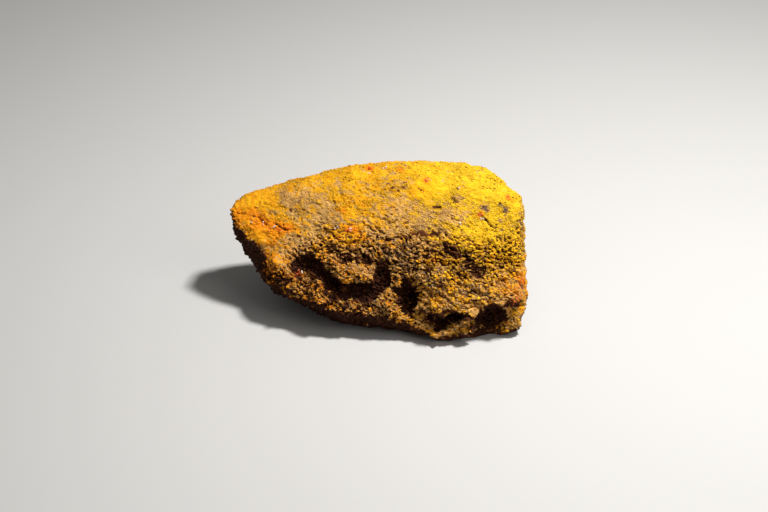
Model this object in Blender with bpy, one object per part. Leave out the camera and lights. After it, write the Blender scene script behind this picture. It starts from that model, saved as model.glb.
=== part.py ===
"""A hand specimen of native sulfur: one broken, wedge-shaped stone with hollows weathered into its front.

The stone is the hull of its own corners, with the hollows cut out, the edges worn round and the skin roughened.
Corners and hollows are in millimetres, X along the stone, -Y its front, +Z up, the floor at Z = 0.
"""
import math

import bmesh
import bpy
import numpy as np
from mathutils import Matrix, Vector, noise

MM = 0.001

# Driving dimensions, in millimetres: the box that the finished stone fills.
LENGTH = 71.0
DEPTH = 38.0
HEIGHT = 33.0

# How the surface is worked.
VOXEL = 0.95
WEAR_STEPS = 2
WEAR = 0.5
TRIANGLES = 8800
FLAT = 0.15  # whatever is lower than this is brought down to the floor

# Roughness of the skin: how high it stands and how wide its lumps are. Crags are squeezed along their dip, which
# falls to the right as seen from the front.
LUMP_HEIGHT, LUMP_WIDTH = 0.9, 8.0
CRAG_HEIGHT, CRAG_WIDTH = 1.05, 3.8
CRAG_DIP, CRAG_SQUEEZE = 32, 1.7
TOP_SHARE = 0.1  # the top's roughness as a share of the front's

# The broken corners of the stone, going from left to right along each edge.
RIDGE = [  # the highest line
    (-37, 6.6, 22), (-34, 13, 22.6), (-24.5, 13, 25.4), (-16.5, 11.5, 28), (-9.5, 11, 31.2), (-1.5, 10, 33),
    (10, 10, 33.4), (17.5, 10, 32.6), (25.6, 9, 32), (29.8, 7, 29.2), (34.3, 3, 26.8),
]
SHOULDER = [  # halfway down the top slope
    (-34.8, 5, 18.4), (-28.5, 5, 23.5), (-19, 4, 26), (-7, 3, 29.3), (4.5, 3, 30.2), (16.5, 2.5, 30),
    (26, 0, 29.3), (32.6, -1, 26),
]
CREST = [  # where the top slope breaks down into the front
    (-30, 4, 13.4), (-27, -1, 16.5), (-21, -5, 17), (-8, -6.5, 19.5), (3.5, -7.5, 20.5), (14, -8.5, 20.5),
    (23.5, -9.5, 20), (31.5, -6.5, 19),
]
LIP = [  # the lower edge that stands furthest forward
    (-29.5, 2, 6.6), (-26.4, -6.8, 9.2), (-18.8, -11.8, 8), (-13, -14.2, 7), (-6.7, -15.7, 6.5), (2.6, -17.2, 6),
    (8.7, -17.8, 4.1), (14.4, -18.4, 2.2), (23.7, -18.7, 2.4), (31.1, -17, 4.5),
]
RIGHT_END = [(34.7, 1, 21), (34.9, -4, 8), (34.2, -14.4, 4), (34.2, 8, 10)]
BACK = [(-30, 16.4, 15), (-15, 17.6, 20), (5, 17.2, 22), (20, 16, 21), (31, 12.4, 18)]
BACK_LOW = [(-24, 12.8, 5), (-10, 15.6, 4), (10, 16.6, 5), (24, 14, 4), (32, 8, 4)]
BELLY = [(-25.6, -2, 4.2), (-18.4, -6, 2), (-10.5, -10, 0.8)]
FOOT = [  # what the stone stands on
    (-10, -7, -0.8), (-1.5, -11, -0.8), (8, -14.5, -0.8), (18, -16.8, -0.8), (26, -17.3, -0.8), (30, -15.5, -0.5),
    (-12, 8, -0.8), (8, 12.5, -0.8), (24, 11, -0.8), (31, 1, -0.8),
]

# Eggs: centre, half width, depth, half height, and the turn of the width in degrees, anticlockwise as seen from
# the side that the egg is on. Lobes are added to the block, hollows are cut out of it.
LOBES = {
    "left_lobe": ((-23.2, -5.8, 13.0), 3.9, 3.2, 2.6, -14),
    "left_ledge": ((-18.6, -9.2, 9.4), 4.6, 2.8, 1.5, -24),
    "middle_lobe": ((-5.4, -9.8, 13.9), 6.2, 3.2, 2.9, -14),
    "lower_ledge": ((-11.4, -12.2, 9.4), 5.8, 2.8, 1.6, -26),
    "lower_ledge_end": ((-7.4, -14.0, 7.2), 3.6, 2.4, 1.4, -10),
    "centre_lobe": ((1.0, -14.3, 8.6), 3.8, 2.6, 2.1, -18),
    "right_shoulder": ((13.4, -12.6, 12.6), 6.4, 3.2, 4.0, -30),
    "right_apron": ((15.4, -15.6, 8.6), 7.0, 3.0, 3.2, -6),
    "right_brow": ((27.4, -14.2, 9.6), 5.6, 3.0, 3.0, 6),
    "foot_ledge": ((13.0, -16.8, 2.7), 4.8, 2.6, 1.5, -18),
    "foot_ridge": ((20.2, -17.3, 4.2), 5.0, 2.8, 1.2, 26),
    "right_foot": ((31.0, -14.8, 3.6), 2.2, 2.6, 2.6, 0),
    "back_brow": ((6.0, 14.2, 17.0), 8.0, 3.4, 3.0, -8),
    "back_left_lobe": ((-16.0, 14.0, 10.0), 5.4, 3.0, 3.2, 10),
    "back_right_lobe": ((24.0, 12.8, 12.0), 4.6, 3.0, 3.4, -15),
}
HOLLOWS = {
    "saddle": ((-17.5, 13.0, 31.9), 8.5, 8.0, 3.6, -20),
    "left_side": ((-31.6, -2.6, 12.2), 3.4, 3.6, 4.2, 40),
    "under_left_crest": ((-17.6, -8.6, 14.4), 4.8, 4.2, 2.4, -4),
    "left_channel": ((-12.2, -11.0, 12.3), 3.4, 3.1, 1.4, -32),
    "left_pocket": ((-16.4, -11.8, 10.8), 1.8, 2.3, 1.0, 10),
    "below_crest": ((-7.6, -8.6, 17.5), 3.0, 2.2, 1.2, -4),
    "below_crest_right": ((-3.4, -9.4, 16.9), 2.4, 2.3, 1.2, -20),
    "long_scoop": ((-4.6, -13.6, 10.7), 5.2, 4.4, 1.9, -8),
    "scoop_arm": ((1.1, -12.2, 13.9), 4.2, 3.9, 2.1, 60),
    "arm_head": ((0.0, -10.4, 16.0), 1.9, 2.6, 1.4, 20),
    "middle_pit": ((5.8, -14.8, 10.0), 3.9, 4.2, 2.7, -56),
    "crescent": ((16.2, -17.8, 4.8), 5.4, 3.4, 1.5, 18),
    "right_cave": ((26.2, -17.6, 4.6), 4.6, 5.4, 3.3, 8),
    "cave_floor": ((25.4, -19.0, 1.4), 4.2, 3.4, 2.8, 0),
    "upper_slot": ((11.4, -12.8, 15.6), 2.0, 1.9, 1.1, 80),
    "shoulder_slot": ((14.4, -15.0, 12.4), 1.6, 1.4, 0.8, -30),
    "right_groove": ((21.8, -12.6, 15.7), 2.8, 2.0, 1.2, -28),
    "top_groove": ((16.4, -9.8, 19.5), 3.0, 1.7, 1.0, -18),
    "top_groove_right": ((20.2, -10.8, 18.2), 2.2, 1.7, 1.0, -48),
    "back_scoop": ((-5.0, 17.4, 13.0), 7.0, 3.6, 2.4, 14),
    "back_pit": ((15.0, 16.8, 10.0), 4.2, 3.6, 2.6, -24),
    "back_groove": ((-21.0, 16.0, 15.0), 4.4, 3.0, 1.4, 30),
    "back_undercut": ((1.0, 18.0, 2.6), 9.0, 4.2, 2.8, 4),
}
ROOF_TILT = 24  # the eggs run up into the stone by this angle, so that roofs overhang and ledges shelve
RAGGED, RAG_WIDTH = 0.34, 0.75  # how uneven an egg is, as a share of its size


def clear_scene():
    """Removes every object from the scene."""
    for obj in list(bpy.data.objects):
        bpy.data.objects.remove(obj)


def new_object(name, bm):
    """Makes an object of that name from a bmesh in millimetres, and frees the bmesh."""
    bmesh.ops.recalc_face_normals(bm, faces=bm.faces)
    mesh = bpy.data.meshes.new(name)
    bmesh.ops.scale(bm, vec=(MM, MM, MM), verts=bm.verts)
    bm.to_mesh(mesh)
    bm.free()
    obj = bpy.data.objects.new(name, mesh)
    bpy.context.scene.collection.objects.link(obj)
    return obj


def block(name):
    """The unworn block: the hull of all the corners."""
    bm = bmesh.new()
    for corner in RIDGE + SHOULDER + CREST + LIP + RIGHT_END + BACK + BACK_LOW + BELLY + FOOT:
        bm.verts.new(corner)
    hull = bmesh.ops.convex_hull(bm, input=bm.verts)
    bmesh.ops.delete(bm, geom=list(set(hull["geom_interior"] + hull["geom_unused"])), context="VERTS")
    return new_object(name, bm)


def egg(name, centre, half_width, depth, half_height, turn):
    """An uneven egg that makes one lobe or hollow. Its deep axis runs into the stone and up."""
    bm = bmesh.new()
    bmesh.ops.create_icosphere(bm, subdivisions=4, radius=1)
    for vertex in bm.verts:
        vertex.co *= 1 + RAGGED * noise.noise(vertex.co / RAG_WIDTH + Vector(centre))
    stretch = Matrix.Diagonal((half_width, depth, half_height, 1))
    roll = Matrix.Rotation(math.radians(-turn), 4, "Y")
    pitch = Matrix.Rotation(math.radians(ROOF_TILT), 4, "X")
    heading = Matrix.Rotation(math.pi if centre[1] > 0 else 0.0, 4, "Z")
    place = Matrix.Translation(centre) @ heading @ roll @ pitch
    bmesh.ops.transform(bm, matrix=place @ stretch, verts=bm.verts)
    tool = new_object("egg_" + name, bm)
    tool.hide_render = True
    tool.display_type = "WIRE"
    return tool


def apply_modifiers(obj):
    """Replaces the object's mesh by its evaluated one, and drops the modifiers."""
    graph = bpy.context.evaluated_depsgraph_get()
    mesh = bpy.data.meshes.new_from_object(obj.evaluated_get(graph))
    obj.modifiers.clear()
    obj.data = mesh


def work(stone, eggs, operation):
    """Joins each egg to the stone, or cuts it out."""
    for name, shape in eggs.items():
        tool = egg(name, *shape)
        step = stone.modifiers.new(name, "BOOLEAN")
        step.operation = operation
        step.object = tool
        apply_modifiers(stone)
        bpy.data.objects.remove(tool)


def even_out(stone):
    """Rebuilds the skin as small even faces."""
    remesh = stone.modifiers.new("even_faces", "REMESH")
    remesh.mode = "VOXEL"
    remesh.voxel_size = VOXEL * MM
    apply_modifiers(stone)


def wear(stone):
    """Wears the edges and the crags round."""
    smooth = stone.modifiers.new("worn_edges", "SMOOTH")
    smooth.factor = WEAR
    smooth.iterations = WEAR_STEPS
    apply_modifiers(stone)


def lumps(point, width, octaves):
    """Fractal noise from about -1 to 1, with lumps of that width in millimetres."""
    return noise.fractal(point / width, 0.9, 2.1, octaves, noise_basis="PERLIN_ORIGINAL")


def roughen(stone):
    """Raises lumps and crags along the normals. The top slope stays the smoothest."""
    mesh = stone.data
    dip = Matrix.Diagonal((1, 1, CRAG_SQUEEZE)) @ Matrix.Rotation(math.radians(-CRAG_DIP), 3, "Y")
    moved = []
    for vertex in mesh.vertices:
        point = vertex.co / MM
        facing_up = max(0.0, vertex.normal.z)
        share = 1.0 - (1.0 - TOP_SHARE) * facing_up
        height = LUMP_HEIGHT * lumps(point, LUMP_WIDTH, 2)
        crag = 0.5 - 2.0 * abs(lumps(dip @ point, CRAG_WIDTH, 2))
        height += CRAG_HEIGHT * crag
        moved.append(vertex.co + vertex.normal * height * share * MM)
    for vertex, place in zip(mesh.vertices, moved):
        vertex.co = place


def thin_out(stone):
    """Brings the skin down to the wanted number of triangles."""
    stone.data.calc_loop_triangles()
    fewer = stone.modifiers.new("fewer_faces", "DECIMATE")
    fewer.ratio = TRIANGLES / len(stone.data.loop_triangles)
    fewer.use_collapse_triangulate = True
    apply_modifiers(stone)


def stand(stone):
    """Cuts the underside flat on the floor."""
    for vertex in stone.data.vertices:
        if vertex.co.z < FLAT * MM:
            vertex.co.z = 0.0


def fit_to_box(stone):
    """Makes the stone exactly its length, depth and height, centred over the origin."""
    mesh = stone.data
    places = np.array([vertex.co for vertex in mesh.vertices])
    low, high = places.min(axis=0), places.max(axis=0)
    size = np.array([LENGTH, DEPTH, HEIGHT]) * MM
    places = (places - low) / (high - low) * size - [size[0] / 2, size[1] / 2, 0.0]
    mesh.vertices.foreach_set("co", places.ravel())
    mesh.update()


def sulfur_crust():
    """The stone's material: a dull yellow crust."""
    material = bpy.data.materials.new("sulfur_crust")
    material.use_nodes = True
    shader = material.node_tree.nodes["Principled BSDF"]
    shader.inputs["Base Color"].default_value = (0.62, 0.36, 0.05, 1.0)
    shader.inputs["Roughness"].default_value = 0.9
    shader.inputs["Metallic"].default_value = 0.0
    return material


def main():
    """Builds the one stone."""
    clear_scene()
    stone = block("sulfur_stone")
    work(stone, LOBES, "UNION")
    work(stone, HOLLOWS, "DIFFERENCE")
    even_out(stone)
    roughen(stone)
    wear(stone)
    stand(stone)
    thin_out(stone)
    stand(stone)
    fit_to_box(stone)
    stone.data.materials.append(sulfur_crust())


main()
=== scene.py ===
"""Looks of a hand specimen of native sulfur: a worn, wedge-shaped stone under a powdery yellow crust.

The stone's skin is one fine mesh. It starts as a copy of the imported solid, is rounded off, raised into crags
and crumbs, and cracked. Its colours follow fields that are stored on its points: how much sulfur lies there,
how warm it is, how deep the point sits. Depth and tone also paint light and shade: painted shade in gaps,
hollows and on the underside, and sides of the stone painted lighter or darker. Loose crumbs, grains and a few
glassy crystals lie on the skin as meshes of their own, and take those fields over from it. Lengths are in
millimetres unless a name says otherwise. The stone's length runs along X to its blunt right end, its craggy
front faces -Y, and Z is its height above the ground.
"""
import logging
import math
from dataclasses import dataclass, field, fields
from enum import Enum
from types import SimpleNamespace

import bmesh
import bpy
import numpy as np
from mathutils import Matrix, Vector
from mathutils.bvhtree import BVHTree
from mathutils.kdtree import KDTree


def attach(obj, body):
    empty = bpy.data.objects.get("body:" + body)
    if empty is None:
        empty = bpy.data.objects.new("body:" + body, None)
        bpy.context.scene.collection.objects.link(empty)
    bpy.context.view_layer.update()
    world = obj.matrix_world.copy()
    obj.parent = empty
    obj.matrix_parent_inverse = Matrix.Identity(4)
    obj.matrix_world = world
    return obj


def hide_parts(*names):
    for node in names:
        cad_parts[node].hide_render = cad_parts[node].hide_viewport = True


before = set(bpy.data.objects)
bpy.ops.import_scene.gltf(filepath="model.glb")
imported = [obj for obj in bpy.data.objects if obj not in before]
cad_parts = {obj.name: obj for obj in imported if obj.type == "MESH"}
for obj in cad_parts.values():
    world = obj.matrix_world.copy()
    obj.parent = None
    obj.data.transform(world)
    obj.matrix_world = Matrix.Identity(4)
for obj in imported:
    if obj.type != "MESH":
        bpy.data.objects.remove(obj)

MM = 0.001
NODE = "sulfur_stone"
BODY = "root"
BAKE_MAP = "OFBake"

# The noises of the skin that the fields are worked out from.
NOISES = ("broad", "patch", "speck", "pick", "second_pick", "pit", "steep", "calm")

log = logging.getLogger("sulfur_stone")

Place = tuple[float, float, float]


class Field(str, Enum):
    """The numbers from 0 to 1 that lie on each point of the skin and of what lies on it."""

    SULFUR = "sulfur"  # how much yellow crust there is
    WARMTH = "warmth"  # from lemon yellow to orange
    RED = "red"  # orange-red mineral
    DEPTH = "depth"  # how deep the point sits, in a gap, a hollow or under the stone; painted shade, and the dark of real pits and cracks
    ROCK = "rock"  # from taupe to grey rock
    TONE = "tone"  # the light and dark of single crumbs at random, and painted light and shade on the stone's sides
    CRUMBLY = "crumbly"  # how many crumbs lie there
    DUST = "dust"  # how many fine grains lie there
    SMOOTH = "smooth"  # how even and free of grains the crust is


def ramp(values: np.ndarray, low: float, high: float) -> np.ndarray:
    """Smooth step from 0 at low to 1 at high; low may be above high."""
    t = np.clip((values - low) / (high - low), 0.0, 1.0)
    return t * t * (3.0 - 2.0 * t)


def linear(red: int, green: int, blue: int) -> tuple[float, float, float, float]:
    """A display colour as the linear colour that a shader takes.

    Args:
        red: from 0 to 255.
        green: from 0 to 255.
        blue: from 0 to 255.

    Returns:
        The linear colour, from 0 to 1 a channel.
    """
    shares = [value / 255 for value in (red, green, blue)]
    bright = [s / 12.92 if s <= 0.04045 else ((s + 0.055) / 1.055) ** 2.4 for s in shares]
    return (*bright, 1.0)


@dataclass(frozen=True)
class Spot:
    """A place on the stone where a field is raised or lowered."""

    place: Place
    radii: Place
    amount: float

    def share(self, points: np.ndarray) -> np.ndarray:
        """The effect at each point: the amount at the middle, falling to nothing at about twice the radii."""
        away = (points - np.array(self.place)) / np.array(self.radii)
        return self.amount * np.exp(-(away**2).sum(axis=1))


@dataclass(frozen=True)
class Hollow:
    """An egg-shaped hollow in the front, whose roof overhangs and whose bare walls get painted shade."""

    centre: Place
    half_width: float
    depth: float
    half_height: float
    turn: float = 0.0  # degrees, anticlockwise seen from the front
    roof_tilt: float = 24.0

    def share(self, points: np.ndarray) -> np.ndarray:
        """How surely each point is on the hollow's wall, from 0 to 1.

        Args:
            points: places, one row each.

        Returns:
            One number a point.
        """
        lean = Matrix.Rotation(math.radians(self.roof_tilt), 3, "X")
        turn = Matrix.Rotation(math.radians(-self.turn), 3, "Y") @ lean
        away = (points - np.array(self.centre)) @ np.array(turn)
        reach = np.linalg.norm(away / (self.half_width, self.depth, self.half_height), axis=1)
        return ramp(reach, 1.5, 1.15)


@dataclass(frozen=True)
class Trail:
    """A narrow gap, or a ridge, that runs from place to place over the skin."""

    route: tuple[Place, ...]
    width: float
    depth: float  # less than nothing for a ridge

    def share(self, points: np.ndarray) -> np.ndarray:
        """How near the middle of the gap or ridge each point is, from 0 outside it to 1.

        Args:
            points: places, one row each.

        Returns:
            One number a point. It narrows towards both ends.
        """
        nearest = np.full(len(points), np.inf)
        steps = len(self.route) - 1
        for index in range(steps):
            start, end = np.array(self.route[index]), np.array(self.route[index + 1])
            run = end - start
            along = np.clip((points - start) @ run / (run @ run), 0.0, 1.0)
            away = np.linalg.norm(points - start - along[:, None] * run, axis=1)
            whole = (index + along) / steps
            half = 0.5 * self.width * (0.35 + 0.65 * np.sin(math.pi * np.clip(whole, 0.04, 0.96)))
            nearest = np.minimum(nearest, away / half)
        return 1.0 - ramp(nearest, 0.35, 1.15)

    def step(self, points: np.ndarray) -> np.ndarray:
        """How far each point is pushed in, one row each with one number."""
        return (self.share(points) * self.depth)[:, None]


def summed(spots: tuple[Spot, ...], points: np.ndarray) -> np.ndarray:
    """The effects of all the spots together, one number a point."""
    return sum(spot.share(points) for spot in spots)


def highest(forms: tuple[Hollow | Trail, ...], points: np.ndarray) -> np.ndarray:
    """The share of whichever form each point is most surely in."""
    return np.max([form.share(points) for form in forms], axis=0)


@dataclass(frozen=True)
class Beds:
    """The thin beds that the stone is made of, which fall to the right and to the front."""

    normal: Place = (0.46, 0.59, 0.66)
    thinness: float = 2.0  # how many times wider than thick a crumb is


# ---- Node trees ----


@dataclass(frozen=True)
class Value:
    """An output of a node. Arithmetic on it adds Math nodes."""

    wires: "Wiring"
    socket: bpy.types.NodeSocket

    def __add__(self, other: "Value | float") -> "Value":
        """The sum."""
        return self.wires.math("ADD", self, other)

    def __sub__(self, other: "Value | float") -> "Value":
        """What is left when the other is taken away."""
        return self.wires.math("SUBTRACT", self, other)

    def __rsub__(self, other: float) -> "Value":
        """What is left of a number when this is taken away."""
        return self.wires.math("SUBTRACT", other, self)

    def __mul__(self, other: "Value | float") -> "Value":
        """The product."""
        return self.wires.math("MULTIPLY", self, other)

    def __truediv__(self, other: "Value | float") -> "Value":
        """The quotient."""
        return self.wires.math("DIVIDE", self, other)


class Wiring:
    """Adds nodes to a node tree and links them."""

    def __init__(self, tree: bpy.types.NodeTree) -> None:
        """Wraps the geometry or shader tree to add to."""
        self.tree = tree

    def add(self, kind: str, settings: dict | None = None, inputs: dict | None = None) -> bpy.types.Node:
        """Adds a node.

        Args:
            kind: the node's type name.
            settings: properties of the node itself.
            inputs: sockets by name or number, each with a plain value or another node's output.

        Returns:
            The new node.
        """
        node = self.tree.nodes.new(kind)
        for name, value in (settings or {}).items():
            setattr(node, name, value)
        for key, value in (inputs or {}).items():
            self.feed(node.inputs[key], value)
        return node

    def get(
        self, kind: str, settings: dict | None = None, inputs: dict | None = None, output: int | str = 0
    ) -> Value:
        """Adds a node, as add does, and gives the output of that name or number."""
        return Value(self, self.add(kind, settings, inputs).outputs[output])

    def feed(self, socket: bpy.types.NodeSocket, value: object) -> None:
        """Links an output to a socket, or sets the socket's own value.

        Args:
            socket: the socket.
            value: a node's output, or a plain value.
        """
        if isinstance(value, Value):
            self.tree.links.new(value.socket, socket)
        else:
            socket.default_value = value

    def math(self, operation: str, first: object, second: object = 0.0) -> Value:
        """A Math node's output."""
        return self.get("ShaderNodeMath", {"operation": operation}, {0: first, 1: second})

    def vector(self, operation: str, first: object, second: object, output: str = "Vector") -> Value:
        """A Vector Math node's output."""
        return self.get("ShaderNodeVectorMath", {"operation": operation}, {0: first, 1: second}, output)

    def scaled(self, value: object, factor: object) -> Value:
        """A vector times a number."""
        return self.get("ShaderNodeVectorMath", {"operation": "SCALE"}, {0: value, "Scale": factor})

    def parts(self, vector: Value) -> tuple[Value, ...]:
        """A vector's or a colour's three numbers."""
        node = self.add("ShaderNodeSeparateXYZ", inputs={0: vector})
        return tuple(Value(self, output) for output in node.outputs)

    def bent(self, place: Value, width: float, amount: float) -> Value:
        """The place shifted by a noise, so that a pattern read there has no straight lines."""
        shift = self.vector("SUBTRACT", self.noise(place, width, output=1), (0.5, 0.5, 0.5))
        return self.vector("ADD", place, self.scaled(shift, amount))

    def bedded(self, place: Value, beds: Beds) -> Value:
        """The place with its step across the beds drawn out, so that a pattern read there lies in thin beds."""
        step = self.vector("DOT_PRODUCT", place, beds.normal, "Value") * (beds.thinness - 1.0)
        return self.vector("ADD", place, self.scaled(beds.normal, step))

    def stepped(self, value: Value, low: object, high: object, start: object = 0.0, end: object = 1.0) -> Value:
        """A smooth step of the value: start at low, end at high."""
        inputs = {"Value": value, "From Min": low, "From Max": high, "To Min": start, "To Max": end}
        return self.get("ShaderNodeMapRange", {"interpolation_type": "SMOOTHSTEP"}, inputs)

    def between(self, share: Value, low: object, high: object) -> Value:
        """The number that lies between low and high at a share from 0 to 1."""
        return self.get("ShaderNodeMapRange", inputs={"Value": share, "To Min": low, "To Max": high})

    def noise(
        self, vector: Value, width: object, detail: float = 2.0, roughness: float = 0.5, output: int = 0
    ) -> Value:
        """Adds a Noise Texture.

        Args:
            vector: where it is read.
            width: how wide its lumps are.
            detail: how many finer noises are added.
            roughness: how strong the finer ones are.
            output: 0 for a number, 1 for a colour.

        Returns:
            The noise.
        """
        scale = self.math("DIVIDE", 1.0, width)
        inputs = {"Vector": vector, "Scale": scale, "Detail": detail, "Roughness": roughness}
        return self.get("ShaderNodeTexNoise", {"noise_dimensions": "3D"}, inputs, output)

    def cells(self, vector: Value, width: object, metric: str = "EUCLIDEAN") -> tuple[Value, ...]:
        """Adds a Voronoi Texture.

        Args:
            vector: where it is read.
            width: how wide its cells are.
            metric: how distance is measured in it.

        Returns:
            The distance to the middle of the cell, the cell's random colour, and its middle.
        """
        settings = {"voronoi_dimensions": "3D", "distance": metric}
        inputs = {"Vector": vector, "Scale": self.math("DIVIDE", 1.0, width)}
        node = self.add("ShaderNodeTexVoronoi", settings, inputs)
        return tuple(Value(self, node.outputs[name]) for name in ("Distance", "Color", "Position"))

    def mixed(self, share: object, first: object, second: object, blend: str = "MIX") -> Value:
        """Two colours mixed, from all of the first at 0 to all of the second at 1."""
        settings = {"data_type": "RGBA", "blend_type": blend}
        return self.get("ShaderNodeMix", settings, {0: share, 6: first, 7: second}, 2)


class GeometryRecipe:
    """A Geometry Nodes tree with named inputs, run once on an object."""

    def __init__(self, name: str) -> None:
        """Starts an empty tree with a geometry input and output.

        Args:
            name: the tree's name, and the name of the mesh that it makes.
        """
        self.name = name
        self.group = bpy.data.node_groups.new(name, "GeometryNodeTree")
        self.wires = Wiring(self.group)
        self.group.interface.new_socket("Geometry", in_out="INPUT", socket_type="NodeSocketGeometry")
        self.group.interface.new_socket("Geometry", in_out="OUTPUT", socket_type="NodeSocketGeometry")
        self.entry = self.group.nodes.new("NodeGroupInput")
        self.exit = self.group.nodes.new("NodeGroupOutput")
        self.given: dict[str, object] = {}

    @property
    def start(self) -> Value:
        """The geometry that the tree works on."""
        return Value(self.wires, self.entry.outputs["Geometry"])

    def input(self, name: str, value: object, kind: str = "Float") -> Value:
        """Adds a named input.

        Args:
            name: its name.
            value: what it is given when the tree runs.
            kind: the kind of socket.

        Returns:
            The output that gives its value inside the tree.
        """
        item = self.group.interface.new_socket(name, in_out="INPUT", socket_type=f"NodeSocket{kind}")
        self.given[item.identifier] = value
        return Value(self.wires, self.entry.outputs[name])

    def inputs(self, sizes: object) -> SimpleNamespace:
        """Adds a named input for each field of a dataclass.

        Args:
            sizes: the dataclass.

        Returns:
            The inputs' values inside the tree, under the fields' names.
        """
        names = [item.name for item in fields(sizes)]
        values = {name: self.input(name.replace("_", " ").title(), getattr(sizes, name)) for name in names}
        return SimpleNamespace(**values)

    def store(self, geometry: Value, name: str, value: object, kind: str = "FLOAT") -> Value:
        """Stores a field on the geometry's points and returns the geometry."""
        inputs = {"Geometry": geometry, "Name": name, "Value": value}
        return self.wires.get("GeometryNodeStoreNamedAttribute", {"data_type": kind, "domain": "POINT"}, inputs)

    def named(self, name: str) -> Value:
        """The value of a stored field of single numbers."""
        return self.wires.get("GeometryNodeInputNamedAttribute", {"data_type": "FLOAT"}, {"Name": name})

    def random(self, seed: object) -> Value:
        """A random number from 0 to 1 for each point."""
        return self.wires.get("FunctionNodeRandomValue", {"data_type": "FLOAT"}, {2: 0.0, 3: 1.0, 8: seed}, 1)

    def random_vector(self, low: Place, high: Place, seed: object) -> Value:
        """Three random numbers for each point, each between its low and its high."""
        inputs = {0: low, 1: high, 8: seed}
        return self.wires.get("FunctionNodeRandomValue", {"data_type": "FLOAT_VECTOR"}, inputs)

    def run(self, source: bpy.types.Object, geometry: Value) -> bpy.types.Mesh:
        """Runs the tree on an object and returns the result as a plain mesh.

        Args:
            source: the object that the tree works on. It is left without the modifier.
            geometry: the tree's last geometry.

        Returns:
            The new mesh.
        """
        self.wires.feed(self.exit.inputs["Geometry"], geometry)
        modifier = source.modifiers.new(self.name, "NODES")
        modifier.node_group = self.group
        for identifier, value in self.given.items():
            modifier[identifier] = value
        mesh = evaluated(source)
        mesh.name = self.name
        return mesh


# ---- Meshes ----


def new_object(name: str, data: bpy.types.ID) -> bpy.types.Object:
    """Puts a mesh, a light or a camera in the scene as an object at the origin.

    Args:
        name: the object's name.
        data: the mesh, light or camera.

    Returns:
        The object.
    """
    thing = bpy.data.objects.new(name, data)
    bpy.context.scene.collection.objects.link(thing)
    return thing


def evaluated(thing: bpy.types.Object) -> bpy.types.Mesh:
    """Applies an object's modifiers.

    Args:
        thing: the object. It loses its modifiers.

    Returns:
        A new mesh, with the modifiers applied.
    """
    graph = bpy.context.evaluated_depsgraph_get()
    mesh = bpy.data.meshes.new_from_object(thing.evaluated_get(graph), depsgraph=graph)
    thing.modifiers.clear()
    return mesh


def plain_mesh(name: str, shape: bmesh.types.BMesh) -> bpy.types.Mesh:
    """Makes a mesh of what was built.

    Args:
        name: the mesh's name.
        shape: what was built. It is freed.

    Returns:
        The mesh.
    """
    mesh = bpy.data.meshes.new(name)
    shape.to_mesh(mesh)
    shape.free()
    return mesh


def finished(piece: bpy.types.Object, material: bpy.types.Material) -> bpy.types.Object:
    """Gives a visible piece its finish and fixes it to the stone's body.

    Args:
        piece: the piece.
        material: its finish.

    Returns:
        The piece.
    """
    piece.data.materials.clear()
    piece.data.materials.append(material)
    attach(piece, BODY)
    return piece


def triangle_count(mesh: bpy.types.Mesh) -> int:
    """How many triangles the mesh's faces come to."""
    return sum(len(face.vertices) - 2 for face in mesh.polygons)


def read_points(mesh: bpy.types.Mesh) -> np.ndarray:
    """Each vertex's place in millimetres, one row each."""
    return read_rows(mesh.vertices, "co") / MM


def read_rows(items: bpy.types.bpy_prop_collection, name: str) -> np.ndarray:
    """Reads a vector property.

    Args:
        items: the vertices, normals or attribute values.
        name: the property's name.

    Returns:
        One row an item.
    """
    flat = np.empty(len(items) * 3, np.float32)
    items.foreach_get(name, flat)
    return flat.reshape(-1, 3).astype(float)


def write_points(mesh: bpy.types.Mesh, points: np.ndarray) -> None:
    """Moves the mesh's vertices to these places, in millimetres."""
    mesh.vertices.foreach_set("co", (points * MM).astype(np.float32).ravel())
    mesh.update()


def read_field(mesh: bpy.types.Mesh, name: str) -> np.ndarray:
    """Reads a field of single numbers.

    Args:
        mesh: the mesh.
        name: the field's name.

    Returns:
        One number a point.
    """
    flat = np.empty(len(mesh.vertices), np.float32)
    mesh.attributes[name].data.foreach_get("value", flat)
    return flat.astype(float)


def write_field(mesh: bpy.types.Mesh, name: str, values: np.ndarray) -> None:
    """Stores a field of single numbers on the mesh's points, held between 0 and 1."""
    layer = mesh.attributes.get(name) or mesh.attributes.new(name, "FLOAT", "POINT")
    layer.data.foreach_set("value", np.clip(values, 0.0, 1.0).astype(np.float32))


def tree_of(mesh: bpy.types.Mesh) -> BVHTree:
    """The mesh's faces, sorted for finding what is near or in the way."""
    return BVHTree.FromPolygons([v.co for v in mesh.vertices], [tuple(f.vertices) for f in mesh.polygons])


class Neighbours:
    """The edges of a mesh, for averaging values over the points round each point."""

    def __init__(self, mesh: bpy.types.Mesh) -> None:
        """Reads the edges.

        Args:
            mesh: the mesh whose points are averaged.
        """
        pairs = np.empty(len(mesh.edges) * 2, np.int32)
        mesh.edges.foreach_get("vertices", pairs)
        self.first, self.second = pairs.reshape(-1, 2).T.copy()
        self.count = len(mesh.vertices)
        ends = np.bincount(self.first, minlength=self.count) + np.bincount(self.second, minlength=self.count)
        self.ends = np.maximum(ends, 1).astype(float)

    def average(self, values: np.ndarray, steps: int) -> np.ndarray:
        """Spreads values along the edges.

        Args:
            values: one number or one row a point.
            steps: how many times each point takes half of its neighbours' mean.

        Returns:
            The smoothed values.
        """
        columns = values.reshape(self.count, -1).T.copy()
        for _ in range(steps):
            for row in columns:
                total = np.bincount(self.first, row[self.second], self.count)
                total += np.bincount(self.second, row[self.first], self.count)
                row[:] = 0.5 * row + 0.5 * total / self.ends
        return columns.T.reshape(values.shape)

    def sunken(self, points: np.ndarray, facing: np.ndarray, steps: int) -> np.ndarray:
        """How far each point lies below its surroundings, which reach so many steps along the edges."""
        return ((self.average(points, steps) - points) * facing).sum(axis=1)


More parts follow.
